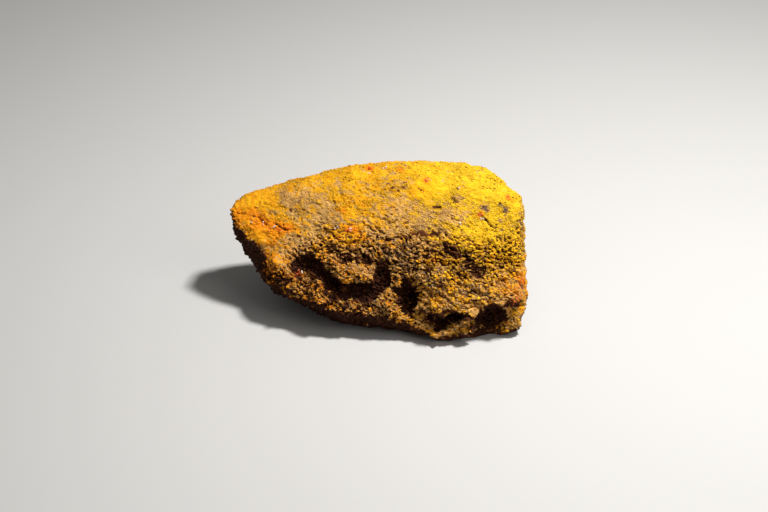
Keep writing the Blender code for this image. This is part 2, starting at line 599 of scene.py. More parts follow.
class FaceNet:
    """Which faces of a mesh share an edge."""

    def __init__(self, mesh: bpy.types.Mesh) -> None:
        """Reads the faces and pairs those that meet.

        Args:
            mesh: a closed mesh.
        """
        self.count = len(mesh.polygons)
        self.sizes = np.empty(self.count, np.int32)
        mesh.polygons.foreach_get("loop_total", self.sizes)
        self.corner_face = np.repeat(np.arange(self.count), self.sizes)
        self.corner_point = np.empty(len(mesh.loops), np.int32)
        mesh.loops.foreach_get("vertex_index", self.corner_point)
        edge = np.empty(len(mesh.loops), np.int32)
        mesh.loops.foreach_get("edge_index", edge)
        order = np.argsort(edge, kind="stable")
        same = edge[order][1:] == edge[order][:-1]
        self.one = self.corner_face[order[:-1][same]]
        self.other = self.corner_face[order[1:][same]]

    def of_points(self, values: np.ndarray) -> np.ndarray:
        """Averages a point field over each face.

        Args:
            values: one number or one row a point.

        Returns:
            One row a face.
        """
        rows = values.reshape(len(values), -1)
        sums = [np.bincount(self.corner_face, row[self.corner_point], self.count) for row in rows.T]
        return (np.array(sums) / self.sizes).T

    def islands(self, labels: np.ndarray) -> np.ndarray:
        """Numbers the connected groups of faces that have the same label.

        Args:
            labels: one whole number a face.

        Returns:
            The group of each face, counted from 0.
        """
        joined = labels[self.one] == labels[self.other]
        one, other = self.one[joined], self.other[joined]
        group = np.arange(self.count)
        while True:
            lowest = np.minimum(group[one], group[other])
            fresh = group.copy()
            np.minimum.at(fresh, group[one], lowest)
            np.minimum.at(fresh, group[other], lowest)
            while not np.array_equal(fresh, fresh[fresh]):
                fresh = fresh[fresh]
            fresh = fresh[group]
            if np.array_equal(fresh, group):
                return np.unique(group, return_inverse=True)[1]
            group = fresh


# ---- Where things are on this stone ----


def spots(*rows: tuple[float, ...]) -> tuple[Spot, ...]:
    """The spots of a table, whose rows are a place, its three radii and its amount."""
    return tuple(Spot(row[:3], row[3:6], row[6]) for row in rows)


# Bare, taupe patches between the yellow ones, and the yellow ones themselves.
SULFUR_SPOTS = spots(
    (-11.5, -0.4, 23.2, 6.5, 3.5, 3.0, -0.42),
    (-13.9, 2.9, 25.4, 5.5, 3.0, 3.0, -0.36),
    (-18.8, 6.0, 26.3, 4.5, 2.5, 3.0, -0.30),
    (3.3, 0.5, 27.0, 6.0, 2.6, 3.0, -0.34),
    (5.1, -5.0, 22.1, 7.5, 3.2, 3.2, -0.34),
    (12.5, -2.8, 24.4, 5.5, 2.6, 2.8, -0.40),
    (20.2, -1.6, 26.3, 3.2, 2.2, 2.4, -0.34),
    (-6.7, -0.5, 24.7, 3.0, 2.0, 2.0, -0.22),
    (-18.5, -2.7, 19.0, 5.0, 2.6, 3.0, -0.40),
    (23.8, -15.3, 11.0, 5.0, 3.0, 3.5, -0.16),
    (2.5, 4.6, 30.2, 4.6, 1.4, 1.6, -0.22),
    (7.0, -9.0, 17.1, 3.5, 2.5, 3.0, -0.26),
    (12.1, -14.4, 14.8, 3.0, 2.2, 2.5, -0.22),
    (20.4, -13.3, 11.6, 3.5, 2.5, 2.5, -0.22),
    (-22.3, 7.8, 26.0, 2.6, 2.8, 2.0, -0.60),
    (-20.4, 5.2, 25.4, 2.0, 1.8, 1.4, -0.30),
    (4.6, 3.8, 29.9, 3.2, 1.5, 1.3, -0.16),
    (-3.3, 5.0, 30.0, 1.4, 1.0, 0.9, -0.60),
    (-9.4, 6.6, 29.5, 1.3, 1.0, 0.9, -0.50),
    (25.0, -1.0, 27.1, 0.9, 0.9, 0.9, -0.80),
    (25.5, -1.9, 26.3, 0.7, 0.7, 0.8, -0.80),
    (28.9, 0.0, 27.1, 0.9, 0.6, 0.6, -0.90),
    (29.9, -1.0, 26.0, 1.0, 0.8, 0.9, -1.20),
    (30.0, -2.3, 24.9, 0.7, 0.8, 0.8, -0.90),
    (28.7, -3.1, 24.4, 0.7, 0.6, 0.6, -0.70),
    (33.9, -0.4, 21.2, 1.6, 1.6, 1.6, -0.46),
    (17.2, -1.9, 25.9, 2.6, 1.4, 1.4, -0.34),
    (21.4, 4.2, 30.6, 8.0, 6.0, 5.0, 0.18),
    (29.6, -1.2, 25.7, 4.5, 4.5, 4.5, 0.18),
    (29.7, -5.2, 19.9, 4.5, 5.0, 5.5, 0.26),
    (21.4, -6.5, 21.9, 4.0, 3.0, 4.0, 0.30),
    (-4.6, 9.2, 31.5, 7.0, 3.0, 3.0, 0.30),
    (-28.1, 8.5, 24.7, 6.0, 4.0, 4.0, 0.46),
    (-33.3, 7.4, 22.5, 3.5, 4.0, 4.0, 0.40),
    (-27.0, 1.0, 20.0, 5.5, 3.5, 4.0, 0.42),
    (-6.8, 1.1, 26.2, 3.6, 1.8, 1.6, 0.60),
    (-9.2, 3.5, 27.5, 3.2, 1.6, 1.2, 0.40),
    (-5.6, -0.4, 24.9, 2.2, 1.2, 1.2, 0.35),
    (-7.2, -3.9, 21.2, 2.8, 1.2, 1.2, 0.40),
    (12.0, 7.4, 31.9, 5.0, 2.0, 1.6, 0.10),
    (18.6, 1.6, 28.8, 2.6, 2.0, 1.8, -0.26),
    (0.3, 2.1, 28.2, 3.5, 2.0, 2.0, 0.34),
    (-6.2, -3.0, 22.4, 3.0, 1.8, 2.0, 0.22),
)

# Orange-red stains.
RED_SPOTS = spots(
    (-27.2, 2.9, 20.8, 3.4, 1.5, 1.3, 0.80),
    (-22.6, 0.6, 20.6, 3.4, 1.3, 1.1, 0.84),
    (-24.8, -0.8, 18.2, 2.6, 1.8, 1.5, 0.30),
    (-29.6, 4.9, 22.4, 2.6, 1.8, 1.3, 0.56),
    (-33.9, 6.0, 20.4, 1.8, 2.5, 2.2, 0.52),
    (-6.2, -3.0, 22.4, 2.4, 1.4, 1.0, 0.66),
    (-8.9, 0.8, 25.4, 2.3, 1.4, 1.0, 0.42),
    (-5.6, 2.2, 27.2, 2.4, 1.2, 1.2, 0.40),
    (11.6, 4.9, 30.9, 1.1, 0.9, 0.9, 0.95),
    (-18.9, -6.7, 12.6, 2.0, 1.6, 1.3, 0.92),
    (-14.9, -8.2, 10.6, 1.6, 1.4, 1.0, 0.50),
    (24.0, -2.4, 25.7, 1.0, 0.9, 0.8, 0.95),
    (31.3, -14.6, 9.5, 3.0, 2.8, 2.4, 0.86),
    (33.8, -9.8, 11.6, 2.0, 3.0, 3.2, 0.80),
    (29.4, -15.0, 3.9, 1.3, 1.5, 1.0, 0.60),
    (27.6, -15.6, 8.5, 2.2, 2.0, 1.6, 0.48),
    (30.9, 2.0, 27.7, 1.3, 1.1, 0.9, 0.72),
    (-2.0, 9.3, 32.0, 1.0, 1.0, 0.9, 0.80),
    (5.6, 8.3, 32.2, 1.1, 0.9, 0.9, 0.62),
    (8.6, 1.8, 29.0, 2.2, 1.4, 1.2, 0.20),
    (3.1, -0.4, 26.6, 1.6, 1.0, 0.9, 0.45),
    (16.8, -14.8, 8.2, 1.8, 1.6, 1.2, 0.40),
    (-27.0, -1.5, 12.0, 1.6, 2.0, 2.0, 0.45),
)

# Greyer rock.
ROCK_SPOTS = spots(
    (7.0, -9.0, 17.1, 3.5, 2.5, 3.0, 0.34),
    (12.1, -14.4, 14.8, 3.0, 2.2, 2.5, 0.30),
    (20.4, -13.3, 11.6, 3.5, 2.5, 2.5, 0.30),
    (2.3, -5.3, 21.4, 3.2, 2.0, 2.0, 0.26),
    (14.0, -0.5, 26.8, 2.2, 0.9, 0.9, 0.45),
    (-22.8, 8.8, 26.4, 1.3, 1.1, 1.1, 0.40),
    (-3.3, 5.0, 30.0, 1.0, 0.8, 0.8, 0.50),
    (29.8, -1.1, 26.0, 1.1, 1.6, 1.7, 0.80),
    (25.2, -1.4, 26.8, 1.0, 0.9, 0.9, 0.60),
)

# Where the even upper side breaks up in pits.
ROUGH_SPOTS = spots(
    (3.8, 3.6, 29.9, 3.8, 1.8, 1.5, 1.0),
    (28.8, -0.8, 26.2, 2.6, 2.4, 2.4, 1.0),
    (12.0, -3.6, 23.8, 6.0, 2.0, 1.8, 1.0),
    (18.4, 0.3, 27.8, 1.8, 1.2, 1.2, 1.0),
    (-18.0, 3.4, 24.4, 4.0, 1.3, 1.2, 0.8),
    (-12.5, -2.0, 21.6, 3.0, 1.3, 1.4, 1.0),
    (32.0, -2.5, 22.5, 2.0, 3.0, 3.0, 0.9),
)

# Small, nearly black pits and smudges, and painted shadow where the front lies in shade.
DARK_PITS_AND_PAINTED_SHADOWS = spots(
    (28.8, 0.1, 27.2, 0.50, 0.35, 0.35, 0.90),
    (28.1, -0.9, 26.7, 0.30, 0.40, 0.40, 0.90),
    (29.9, -1.1, 25.9, 0.75, 0.60, 0.65, 0.80),
    (30.7, -0.8, 25.9, 0.35, 0.35, 0.35, 1.00),
    (30.1, -2.3, 24.9, 0.40, 0.40, 0.40, 1.00),
    (30.6, -3.5, 23.8, 0.50, 0.40, 0.40, 1.20),
    (28.7, -3.4, 24.2, 0.40, 0.40, 0.40, 0.90),
    (27.9, -3.9, 23.8, 0.35, 0.35, 0.35, 0.90),
    (25.3, -1.4, 26.7, 0.45, 0.45, 0.50, 0.60),
    (32.0, -2.7, 23.6, 0.60, 0.50, 0.50, 1.10),
    (3.5, 3.7, 29.8, 0.60, 0.40, 0.40, 0.90),
    (5.0, 3.1, 29.3, 0.45, 0.35, 0.35, 0.90),
    (6.1, 3.8, 29.8, 0.50, 0.40, 0.40, 0.90),
    (6.5, 4.8, 30.6, 0.60, 0.40, 0.40, 0.80),
    (2.6, 4.6, 30.3, 0.50, 0.35, 0.35, 0.80),
    (-1.0, 4.4, 29.9, 0.60, 0.40, 0.40, 0.80),
    (-6.4, 6.6, 30.2, 0.50, 0.40, 0.40, 0.80),
    (33.2, -4.0, 21.6, 0.60, 0.70, 0.80, 1.00),
    (29.0, -6.0, 22.0, 0.60, 0.45, 0.40, 1.10),
    (-18.7, -1.7, 20.0, 0.9, 0.5, 0.5, 0.95),
    (-20.6, 3.8, 24.1, 0.55, 0.45, 0.45, 0.95),
    (-17.5, 3.2, 24.5, 0.55, 0.45, 0.45, 0.95),
    (-14.6, 2.5, 25.1, 0.8, 0.5, 0.5, 0.85),
    (14.0, -0.5, 26.8, 1.8, 0.5, 0.5, 0.62),
    (17.7, 0.9, 28.3, 0.6, 0.5, 0.5, 0.80),
    (18.4, 0.1, 27.7, 0.7, 0.4, 0.4, 0.70),
    (-12.8, -1.9, 21.6, 1.6, 0.8, 0.8, 0.55),
    (-6.0, -1.9, 23.3, 1.6, 0.6, 0.5, 0.60),
    (-10.9, -5.0, 18.8, 2.8, 0.9, 0.8, 0.95),
    # Painted shadow from here on: the band below the top's front edge, the floors of the hollows, the cave at
    # the lower right, and under the undercut left end.
    (7.6, -5.4, 21.8, 2.0, 1.0, 1.0, 0.75),
    (10.6, -5.0, 22.2, 2.4, 1.1, 1.1, 0.75),
    (13.6, -5.0, 22.5, 1.4, 1.1, 1.1, 0.75),
    (23.4, -9.9, 15.8, 1.5, 1.0, 0.7, 1.20),
    (21.0, -8.5, 18.2, 1.3, 0.8, 0.8, 1.00),
    (18.1, -7.8, 19.9, 1.5, 0.8, 0.5, 1.00),
    (15.6, -7.1, 20.6, 1.5, 0.9, 0.6, 1.10),
    (12.1, -8.0, 19.4, 1.5, 0.9, 0.7, 1.00),
    (11.6, -12.0, 16.4, 1.2, 1.1, 0.8, 1.10),
    (14.4, -15.0, 14.2, 1.0, 0.9, 0.7, 0.90),
    (12.8, -16.1, 5.4, 2.0, 1.8, 1.3, 1.40),
    (15.6, -15.6, 5.6, 2.2, 1.9, 1.2, 1.40),
    (18.4, -16.0, 6.7, 1.8, 1.6, 0.8, 1.40),
    (20.2, -17.0, 7.9, 1.2, 1.4, 0.5, 1.20),
    (17.5, -17.8, 1.5, 2.6, 1.6, 0.9, 1.30),
    (20.0, -18.2, 2.5, 1.8, 1.6, 0.9, 1.30),
    (22.4, -16.8, 4.0, 1.4, 1.6, 1.0, 1.30),
    (23.4, -17.0, 3.8, 1.6, 2.0, 1.8, 1.50),
    (22.9, -15.9, 2.0, 1.8, 1.6, 1.8, 1.40),
    (25.7, -14.4, 1.6, 3.2, 2.6, 2.4, 1.60),
    (-29.6, 0.5, 14.2, 2.2, 2.2, 2.2, 1.20),
    (-27.4, -0.8, 13.6, 1.6, 1.6, 2.0, 1.10),
    (-28.4, 0.6, 10.8, 1.8, 2.2, 2.6, 1.00),
    (-24.0, -3.2, 6.4, 3.2, 4.0, 2.0, 1.10),
    (-18.8, -8.4, 6.0, 3.4, 4.0, 1.9, 1.10),
    (-16.4, -9.6, 10.8, 1.8, 1.4, 0.8, 0.90),
    (-6.8, -12.3, 9.5, 3.4, 1.8, 1.2, 1.20),
    (-3.3, -11.3, 9.2, 2.8, 1.8, 1.1, 1.20),
    (-10.6, -14.2, 6.2, 2.6, 2.2, 1.0, 1.20),
    (-6.0, -14.6, 5.8, 3.0, 2.4, 1.0, 1.30),
    (-1.7, -15.2, 5.6, 2.8, 2.4, 0.9, 1.30),
    (2.0, -15.5, 5.0, 2.4, 2.2, 1.0, 1.30),
    (5.3, -16.1, 4.2, 2.2, 2.2, 1.0, 1.20),
    (-10.2, -12.0, 10.3, 2.0, 1.3, 0.8, 1.00),
    (0.2, -10.2, 11.2, 1.6, 1.4, 1.6, 1.00),
)

# The hollows of the front, whose walls get painted shade.
SHADED_HOLLOWS = (
    Hollow((-17.2, -7.5, 14.4), 4.8, 4.2, 2.4, -4),
    Hollow((-11.8, -9.9, 12.3), 3.4, 3.1, 1.4, -32),
    Hollow((-16.0, -10.7, 10.8), 1.8, 2.3, 1.0, 10),
    Hollow((-7.2, -7.5, 17.5), 3.0, 2.2, 1.2, -4),
    Hollow((-3.0, -8.3, 16.9), 2.4, 2.3, 1.2, -20),
    Hollow((-4.2, -12.5, 10.7), 5.2, 4.4, 1.9, -8),
    Hollow((1.5, -11.1, 13.9), 4.2, 3.9, 2.1, 60),
    Hollow((0.4, -9.3, 16.0), 1.9, 2.6, 1.4, 20),
    Hollow((6.2, -13.7, 10.0), 3.9, 4.2, 2.7, -56),
    Hollow((15.8, -16.2, 5.6), 5.4, 3.6, 2.0, 14),
    Hollow((26.4, -16.4, 3.3), 5.2, 5.4, 2.8, 8),
    Hollow((25.8, -17.9, 1.4), 4.2, 3.4, 2.8, 0),
    Hollow((11.8, -11.7, 15.6), 2.0, 1.9, 1.1, 80),
    Hollow((14.8, -13.9, 12.4), 1.6, 1.4, 0.8, -30),
    Hollow((22.2, -11.5, 15.7), 2.5, 1.8, 1.0, -28),
    Hollow((16.8, -8.7, 19.5), 2.8, 1.5, 0.8, -18),
    Hollow((20.6, -9.7, 18.2), 2.0, 1.5, 0.8, -48),
    Hollow((-31.2, -1.5, 12.2), 3.4, 3.6, 4.2, 40),
)

# Where crumbs cover the floor of a hollow, which gets less painted shade there.
CRUSTED_FLOORS = spots(
    (-18.2, -7.4, 12.0, 3.8, 2.6, 1.5, 0.7),
    (30.0, -15.0, 2.8, 1.5, 1.6, 1.6, 1.0),
)

# Thin cracks.
CRACKS = (
    Trail(((24.4, -2.6, 25.6), (25.1, -3.2, 25.1), (25.8, -3.5, 24.5), (26.4, -4.2, 23.9)), 0.55, 0.8),
    Trail(((26.1, -3.9, 24.2), (26.9, -4.4, 23.5), (28.2, -4.6, 22.8)), 0.50, 0.6),
    Trail(((17.2, 1.5, 28.6), (17.9, 0.8, 28.2), (18.7, 0.1, 27.7)), 0.50, 0.3),
    Trail(((-25.1, 2.6, 21.5), (-23.9, 1.7, 21.2), (-22.7, 0.9, 20.8), (-21.2, 0.0, 20.6)), 0.46, 0.6),
    Trail(((8.4, 4.4, 30.4), (9.7, 3.3, 29.8), (10.8, 2.6, 29.2), (11.8, 1.6, 28.4)), 0.26, 0.3),
    Trail(((12.5, -0.2, 27.0), (13.7, -0.4, 26.8), (14.8, -0.7, 26.6)), 0.30, 0.3),
    Trail(((-11.5, -2.0, 22.0), (-10.5, -2.2, 21.9), (-9.5, -2.4, 22.1)), 0.40, 0.4),
    Trail(((-10.9, -2.3, 21.8), (-10.7, -2.9, 21.2), (-10.2, -3.7, 20.5)), 0.40, 0.4),
    Trail(((-19.5, -1.2, 20.3), (-18.9, -1.5, 20.1), (-18.3, -1.9, 19.9)), 0.45, 0.4),
    Trail(((10.2, -3.8, 24.2), (11.2, -4.1, 23.8), (12.0, -4.6, 23.2)), 0.50, 0.5),
    Trail(((-9.5, -2.8, 21.8), (-7.5, -3.3, 21.4), (-5.6, -3.7, 21.1)), 0.45, 0.5),
    Trail(((-14.0, 0.1, 23.0), (-12.6, -0.6, 22.7), (-11.0, -0.8, 22.7)), 0.40, 0.3),
)

# Low crusted ridges between the hollows at the lower right. They are raised, lose the hollows' painted shade
# and get painted light.
RIDGES = (
    Trail(
        ((13.0, -17.6, 2.2), (15.6, -17.0, 2.9), (17.0, -16.7, 3.8), (18.4, -16.4, 4.7), (20.6, -16.6, 6.4)),
        2.8,
        -1.8,
    ),
    Trail(((18.2, -16.8, 4.9), (20.2, -17.0, 6.1), (21.9, -17.0, 7.2), (24.2, -16.4, 8.0)), 3.0, -1.2),
)

# Where the front is sunk a little more, by the amount in millimetres, but by no more than 1.
NICHES = spots(
    (12.8, -16.1, 5.6, 2.2, 2.0, 1.4, 1.2),
    (15.6, -15.6, 5.8, 2.4, 2.0, 1.2, 1.0),
    (18.6, -16.4, 7.0, 1.6, 1.8, 0.7, 1.0),
)

# A smooth plate of purer sulfur that stands a little proud of the top.
PLATE = Spot((11.6, 3.2, 29.7), (4.9, 3.2, 2.7), 1.0)

PALE_GLINTS: tuple[Place, ...] = (
    (-30.2, 3.8, 20.9), (-27.4, 3.0, 20.8), (-24.4, 1.4, 20.7), (-9.3, -2.0, 22.6), (-6.2, -3.0, 22.4),
    (1.3, 8.9, 32.3), (-2.0, 8.2, 31.5), (12.5, 5.1, 31.0), (24.0, -3.1, 25.1), (19.8, 3.1, 30.1),
    (19.1, -3.9, 24.1), (-18.2, -6.2, 13.4), (-0.8, -12.6, 8.2),
)

RED_GLINTS: tuple[Place, ...] = (
    (-25.6, 1.4, 19.6), (-6.9, -3.0, 22.3), (11.3, 4.9, 30.8), (23.9, -2.4, 25.8), (-19.3, -6.8, 12.4),
    (30.9, 2.0, 27.7), (-1.6, 9.3, 32.1), (31.3, -14.9, 9.4),
)


# ---- The skin ----


@dataclass(frozen=True)
class ReliefSizes:
    """How high, wide and common the forms of the crust are. They are the named inputs of its node tree."""

    ledge_height: float = 0.8
    ledge_width: float = 2.4
    crag_height: float = 0.90
    crag_width: float = 3.2
    crumb_height: float = 0.56
    crumb_width: float = 0.9
    grit_height: float = 0.34
    grit_width: float = 0.65
    pit_depth: float = 0.45
    pit_width: float = 1.3
    pit_share: float = 0.15
    top_share: float = 0.25  # how much of the crags there is on the even upper side
    sink: float = 0.35
    foot_fade: float = 2.2  # how high above the ground the forms are whole


@dataclass
class Relief:
    """The node tree that raises crags, ledges, crumbs and grit along the skin's normals."""

    sizes: ReliefSizes
    beds: Beds
    broad_width: float = 15.0
    patch_width: float = 5.5
    speck_width: float = 1.7
    calm_width: float = 6.0
    calm_shift: Place = (31.0, 17.0, 5.0)  # so that it differs from the other noises
    bend_width: float = 6.0
    bend: float = 5.0
    spread_steps: int = 90  # how widely the slope is averaged
    red_patch: Place = (-25.6, 0.2, 18.6)

    def __post_init__(self) -> None:
        """Starts the tree with what all the forms read."""
        self.recipe = GeometryRecipe("raise_crust")
        self.size = self.recipe.inputs(self.sizes)
        w = self.wires = self.recipe.wires
        self.position = w.get("GeometryNodeInputPosition")
        self.normal = w.get("GeometryNodeInputNormal")
        self.place = w.scaled(self.position, 1.0 / MM)
        self.x, _, self.z = w.parts(self.place)
        self.patch = w.noise(self.place, self.patch_width, 3.0, 0.6)
        self.speck = w.noise(self.place, self.speck_width, 2.0, 0.6)
        self.bent = w.bent(self.place, self.bend_width, self.bend)
        self.bed = w.bedded(self.bent, self.beds)
        self.steep = self.steepness()

    def steepness(self) -> Value:
        """Tells the steep, crumbly front from the even upper side.

        Returns:
            How surely a point is on the front, from 0 to 1.
        """
        w, x, z = self.wires, self.x, self.z
        inputs = {0: w.parts(self.normal)[2], "Iterations": self.spread_steps}
        lean = w.get("GeometryNodeBlurAttribute", {"data_type": "FLOAT"}, inputs) + (self.patch - 0.5) * 0.70
        level = z + w.stepped(x, -8.0, -25.0, 0.0, 9.0)
        lean = lean + w.stepped(level, 13.0, 28.0, -0.55, 0.26)
        shoulder = w.stepped(x, 18.0, 31.0) * w.stepped(z, 14.0, 23.0)
        lean = lean + shoulder * 0.28
        away = w.vector("DISTANCE", self.place, self.red_patch, "Value")
        lean = lean + w.stepped(away, 5.0, 2.0, 0.0, 0.60)
        return w.stepped(lean, 1.04, 0.30)

    def craggy_share(self) -> Value:
        """Weakens the crags and crumbs on the upper side and at both ends.

        Returns:
            How much of them there is, from 0 to 1.
        """
        w, x, z = self.wires, self.x, self.z
        left_end = w.stepped(x, -24.0, -30.0) * w.stepped(z, 21.0, 17.0)
        ends = w.math("MAXIMUM", left_end, w.stepped(x, 31.0, 34.0))
        return w.between(self.steep, self.size.top_share, 1.0) * (1.0 - ends * 0.55)

    def crags(self) -> Value:
        """Crags along the folds of a noise, and ledges along the beds.

        Returns:
            How high they rise, in millimetres.
        """
        w, size = self.wires, self.size
        fold = w.noise(self.bed, size.crag_width, 3.0, 0.55)
        crag = (0.16 - w.math("ABSOLUTE", fold - 0.5)) * (size.crag_height * 4.5)
        across = w.vector("DOT_PRODUCT", self.bent, self.beds.normal, "Value")
        step = w.math("FRACT", across / size.ledge_width + (self.speck + self.patch * 2.2))
        ledge = (0.5 - step) * size.ledge_height
        return crag + ledge * w.stepped(fold, 0.38, 0.58)

    def crumbs(self) -> tuple[Value, Value, Value]:
        """Slanting, flat-topped crumbs.

        Returns:
            How high they rise, in millimetres, and two random numbers of each crumb.
        """
        w = self.wires
        near, color, middle = w.cells(self.bed, self.size.crumb_width, "CHEBYCHEV")
        first, _, second = w.parts(color)
        away = w.vector("SUBTRACT", self.bed, middle)
        slant = w.vector("DOT_PRODUCT", away, w.vector("SUBTRACT", color, (0.5, 0.5, 0.5)), "Value")
        proud = w.stepped(near, 0.60, 0.32) * (first * 1.3 + 0.1)
        return ((proud - 0.45) + slant * 0.9) * self.size.crumb_height, first, second

    def grit(self) -> Value:
        """How high the fine grit rises, in millimetres."""
        grit = self.wires.noise(self.bed, self.size.grit_width) - 0.5
        return grit * (self.size.grit_height * self.wires.stepped(self.steep, 0.0, 1.0, 1.3, 2.0))

    def pits(self) -> Value:
        """Small round pits in a few of the cells of the crust.

        Returns:
            How deep in a pit a point is, from 0 to 1.
        """
        near, color, _ = self.wires.cells(self.bed, self.size.pit_width)
        is_pit = self.wires.math("LESS_THAN", self.wires.parts(color)[1], self.size.pit_share)
        return self.wires.stepped(near, 0.36, 0.12) * is_pit

    def run(self, form: bpy.types.Object) -> bpy.types.Mesh:
        """Raises the whole relief on an even form.

        Args:
            form: the even form. It is left without modifiers.

        Returns:
            The raised mesh, with its first places, its normals and its noises stored as fields.
        """
        recipe, w, size, place = self.recipe, self.wires, self.size, self.place
        crumb, first_pick, second_pick = self.crumbs()
        pit = self.pits()
        total = ((self.crags() + crumb) - size.sink) * self.craggy_share()
        total = (total + self.grit()) + pit * (size.pit_depth * -1.0)
        total = total * w.stepped(self.z, 0.2, size.foot_fade)

        shape = recipe.store(recipe.start, "base", self.position, "FLOAT_VECTOR")
        shape = recipe.store(shape, "facing", self.normal, "FLOAT_VECTOR")
        broad = w.noise(place, self.broad_width)
        calm = w.noise(w.vector("ADD", place, self.calm_shift), self.calm_width, 3.0, 0.6)
        noises = (broad, self.patch, self.speck, first_pick, second_pick, pit, self.steep, calm)
        for name, value in zip(NOISES, noises):
            shape = recipe.store(shape, name, value)
        inputs = {"Geometry": shape, "Offset": w.scaled(self.normal, total * MM)}
        return recipe.run(form, w.get("GeometryNodeSetPosition", inputs=inputs))


@dataclass
class FieldMaker:
    """Works out the skin's fields from its forms, its noises and the tables above, one number a point."""

    place: np.ndarray
    facing: np.ndarray
    plate: np.ndarray
    hidden: np.ndarray  # how much of the sky the large forms hide, and how sunken they are, one row a point
    fine: np.ndarray  # how far a point lies below its close surroundings
    middle: np.ndarray  # how far it lies below its wider surroundings
    noise: SimpleNamespace

    def store(self, mesh: bpy.types.Mesh) -> None:
        """Works out all the fields and stores them.

        Args:
            mesh: the skin.
        """
        self.x, self.z, self.up = self.place[:, 0], self.place[:, 2], self.facing[:, 2]
        self.low = ramp(self.z, 16.0, 12.0)
        self.cracks, self.ridges = highest(CRACKS, self.place), highest(RIDGES, self.place)
        self.patches = summed(SULFUR_SPOTS, self.place)
        self.dark, self.cave, self.under = self.smudges(), self.caves(), self.shade()
        stored = {Field.SULFUR: self.sulfur(), Field.DEPTH: self.depth(), Field.TONE: self.tone()}
        stored |= self.hues() | self.covers()
        for name in Field:
            write_field(mesh, name, stored[name])

    def smudges(self) -> np.ndarray:
        """Small, nearly black pits, painted shadow on the front, and painted shade as dark holes low on the
        left.

        Returns:
            How dark they are.
        """
        n = self.noise
        dark = summed(DARK_PITS_AND_PAINTED_SHADOWS, self.place) * ramp(n.speck + 0.5 * (n.pick - 0.5), 0.24, 0.58)
        shaded_holes = ramp(n.speck + 0.5 * (n.patch - 0.5), 0.49, 0.57) * ramp(self.z, 14.0, 11.5)
        return np.maximum(dark, 0.95 * (shaded_holes * ramp(self.x, 0.0, -6.0))) * (1.0 - self.ridges)

    def caves(self) -> np.ndarray:
        """Painted shade in the hollows: on their walls, and where the stone's large forms hide the sky or sink
        below their surroundings.

        Returns:
            How surely a point lies there.
        """
        n, hidden, sunken = self.noise, self.hidden[:, 0], self.hidden[:, 1]
        cave = np.maximum(ramp(hidden, 0.26, 0.50), ramp(sunken, 0.35, 1.25)) * ramp(self.up, 0.75, 0.35)
        ragged = sunken + 0.9 * (n.speck - 0.5) + 0.5 * (n.pick - 0.5)
        cave = np.maximum(cave, 0.92 * highest(SHADED_HOLLOWS, self.place) * ramp(ragged, -0.10, 0.30))
        cave *= (1.0 - ramp(summed(CRUSTED_FLOORS, self.place), 0.25, 0.60)) * (1.0 - self.ridges)
        return cave

    def shade(self) -> np.ndarray:
        """Painted shade on the underside and under the undercut left end.

        Returns:
            How surely a point lies there.
        """
        x, z, up = self.x, self.z, self.up
        under = ramp(up, 0.05, -0.45) * ramp(z, 14.0, 7.0)
        under = np.maximum(under, ramp(up, 0.30, -0.20) * ramp(z, 18.0, 13.0) * ramp(x, -24.0, -30.0))
        lip = z + 0.68 * (x + 27.0) + 3.0 * (self.noise.speck - 0.5)
        return np.maximum(under, ramp(lip, 16.0, 14.8) * ramp(x, -26.0, -29.0) * ramp(up, 0.50, 0.20))

    def depth(self) -> np.ndarray:
        """How deep each point sits in a gap, a crack, a pit, a hollow or the underside's painted shade.

        Returns:
            One number a point.
        """
        steep = self.noise.steep
        # Gaps between crumbs: painted shade, and bare dark rock.
        gap = np.maximum(ramp(self.fine, 0.0, 0.20), 0.8 * ramp(self.middle, 0.14, 0.68))
        gap = gap * (0.30 + 0.70 * steep) + 0.16 * steep * ramp(self.noise.patch, 0.30, 0.62)
        gap = gap * (1.0 - 0.55 * ramp(self.x, 6.0, 12.0) * self.low)
        pits = 0.85 * self.noise.pit * (0.4 + 0.6 * steep)
        # Depth darkens the colour: painted shade in gaps, hollows and on the underside, and the dark of real
        # cracks and pits.
        depth = np.maximum.reduce([gap, self.cracks, 0.93 * self.cave, pits, self.dark])
        return np.maximum(depth * (1.0 - self.ridges), self.under)

    def sulfur(self) -> np.ndarray:
        """How much yellow crust there is.

        Returns:
            One number a point.
        """
        x, z, n = self.x, self.z, self.noise
        sulfur = 0.44 + 0.26 * ramp(self.up, 0.1, 0.9) * ramp(z, 14.0, 24.0)
        sulfur += 0.20 * ramp(x, 9.0, 25.0) * ramp(z, 7.0, 17.0)
        sulfur += 0.45 * (n.broad - 0.5) + 0.75 * (n.patch - 0.5) + 0.5 * (n.speck - 0.5)
        sulfur += 0.35 * (n.pick - 0.5) * n.steep + 0.80 * self.patches
        sulfur += 0.16 * ramp(x, -4.0, -12.0) * self.low - 0.3 * self.ridges
        sulfur += 0.08 * ramp(z, 26.0, 30.0) + 0.10 * ramp(x, -16.0, -24.0)
        # The underside and the hollows lose their yellow, as part of their painted shade.
        return np.maximum(sulfur, self.plate) * (1.0 - 0.9 * self.under) * (1.0 - 0.75 * self.cave)

    def hues(self) -> dict[Field, np.ndarray]:
        """Of which yellow, how red, and of which grey each point is.

        Returns:
            The three fields.
        """
        x, z, n = self.x, self.z, self.noise
        warmth = 0.10 + 0.40 * ramp(x + 16.0 * (n.broad - 0.5), 22.0, -6.0) + 0.14 * ramp(x, -14.0, -34.0)
        warmth += 0.5 * (n.speck - 0.5) + 0.30 * ramp(z, 24.0, 10.0) + 0.25 * self.plate
        red = summed(RED_SPOTS, self.place) + 0.9 * ramp(n.patch * n.second_pick, 0.50, 0.62) * n.steep
        rock = 0.5 + summed(ROCK_SPOTS, self.place) + 1.3 * (n.patch - 0.5)
        rock = rock + 0.5 * (n.second_pick - 0.5) + 0.10 * n.steep
        return {Field.WARMTH: warmth, Field.RED: red, Field.ROCK: rock}

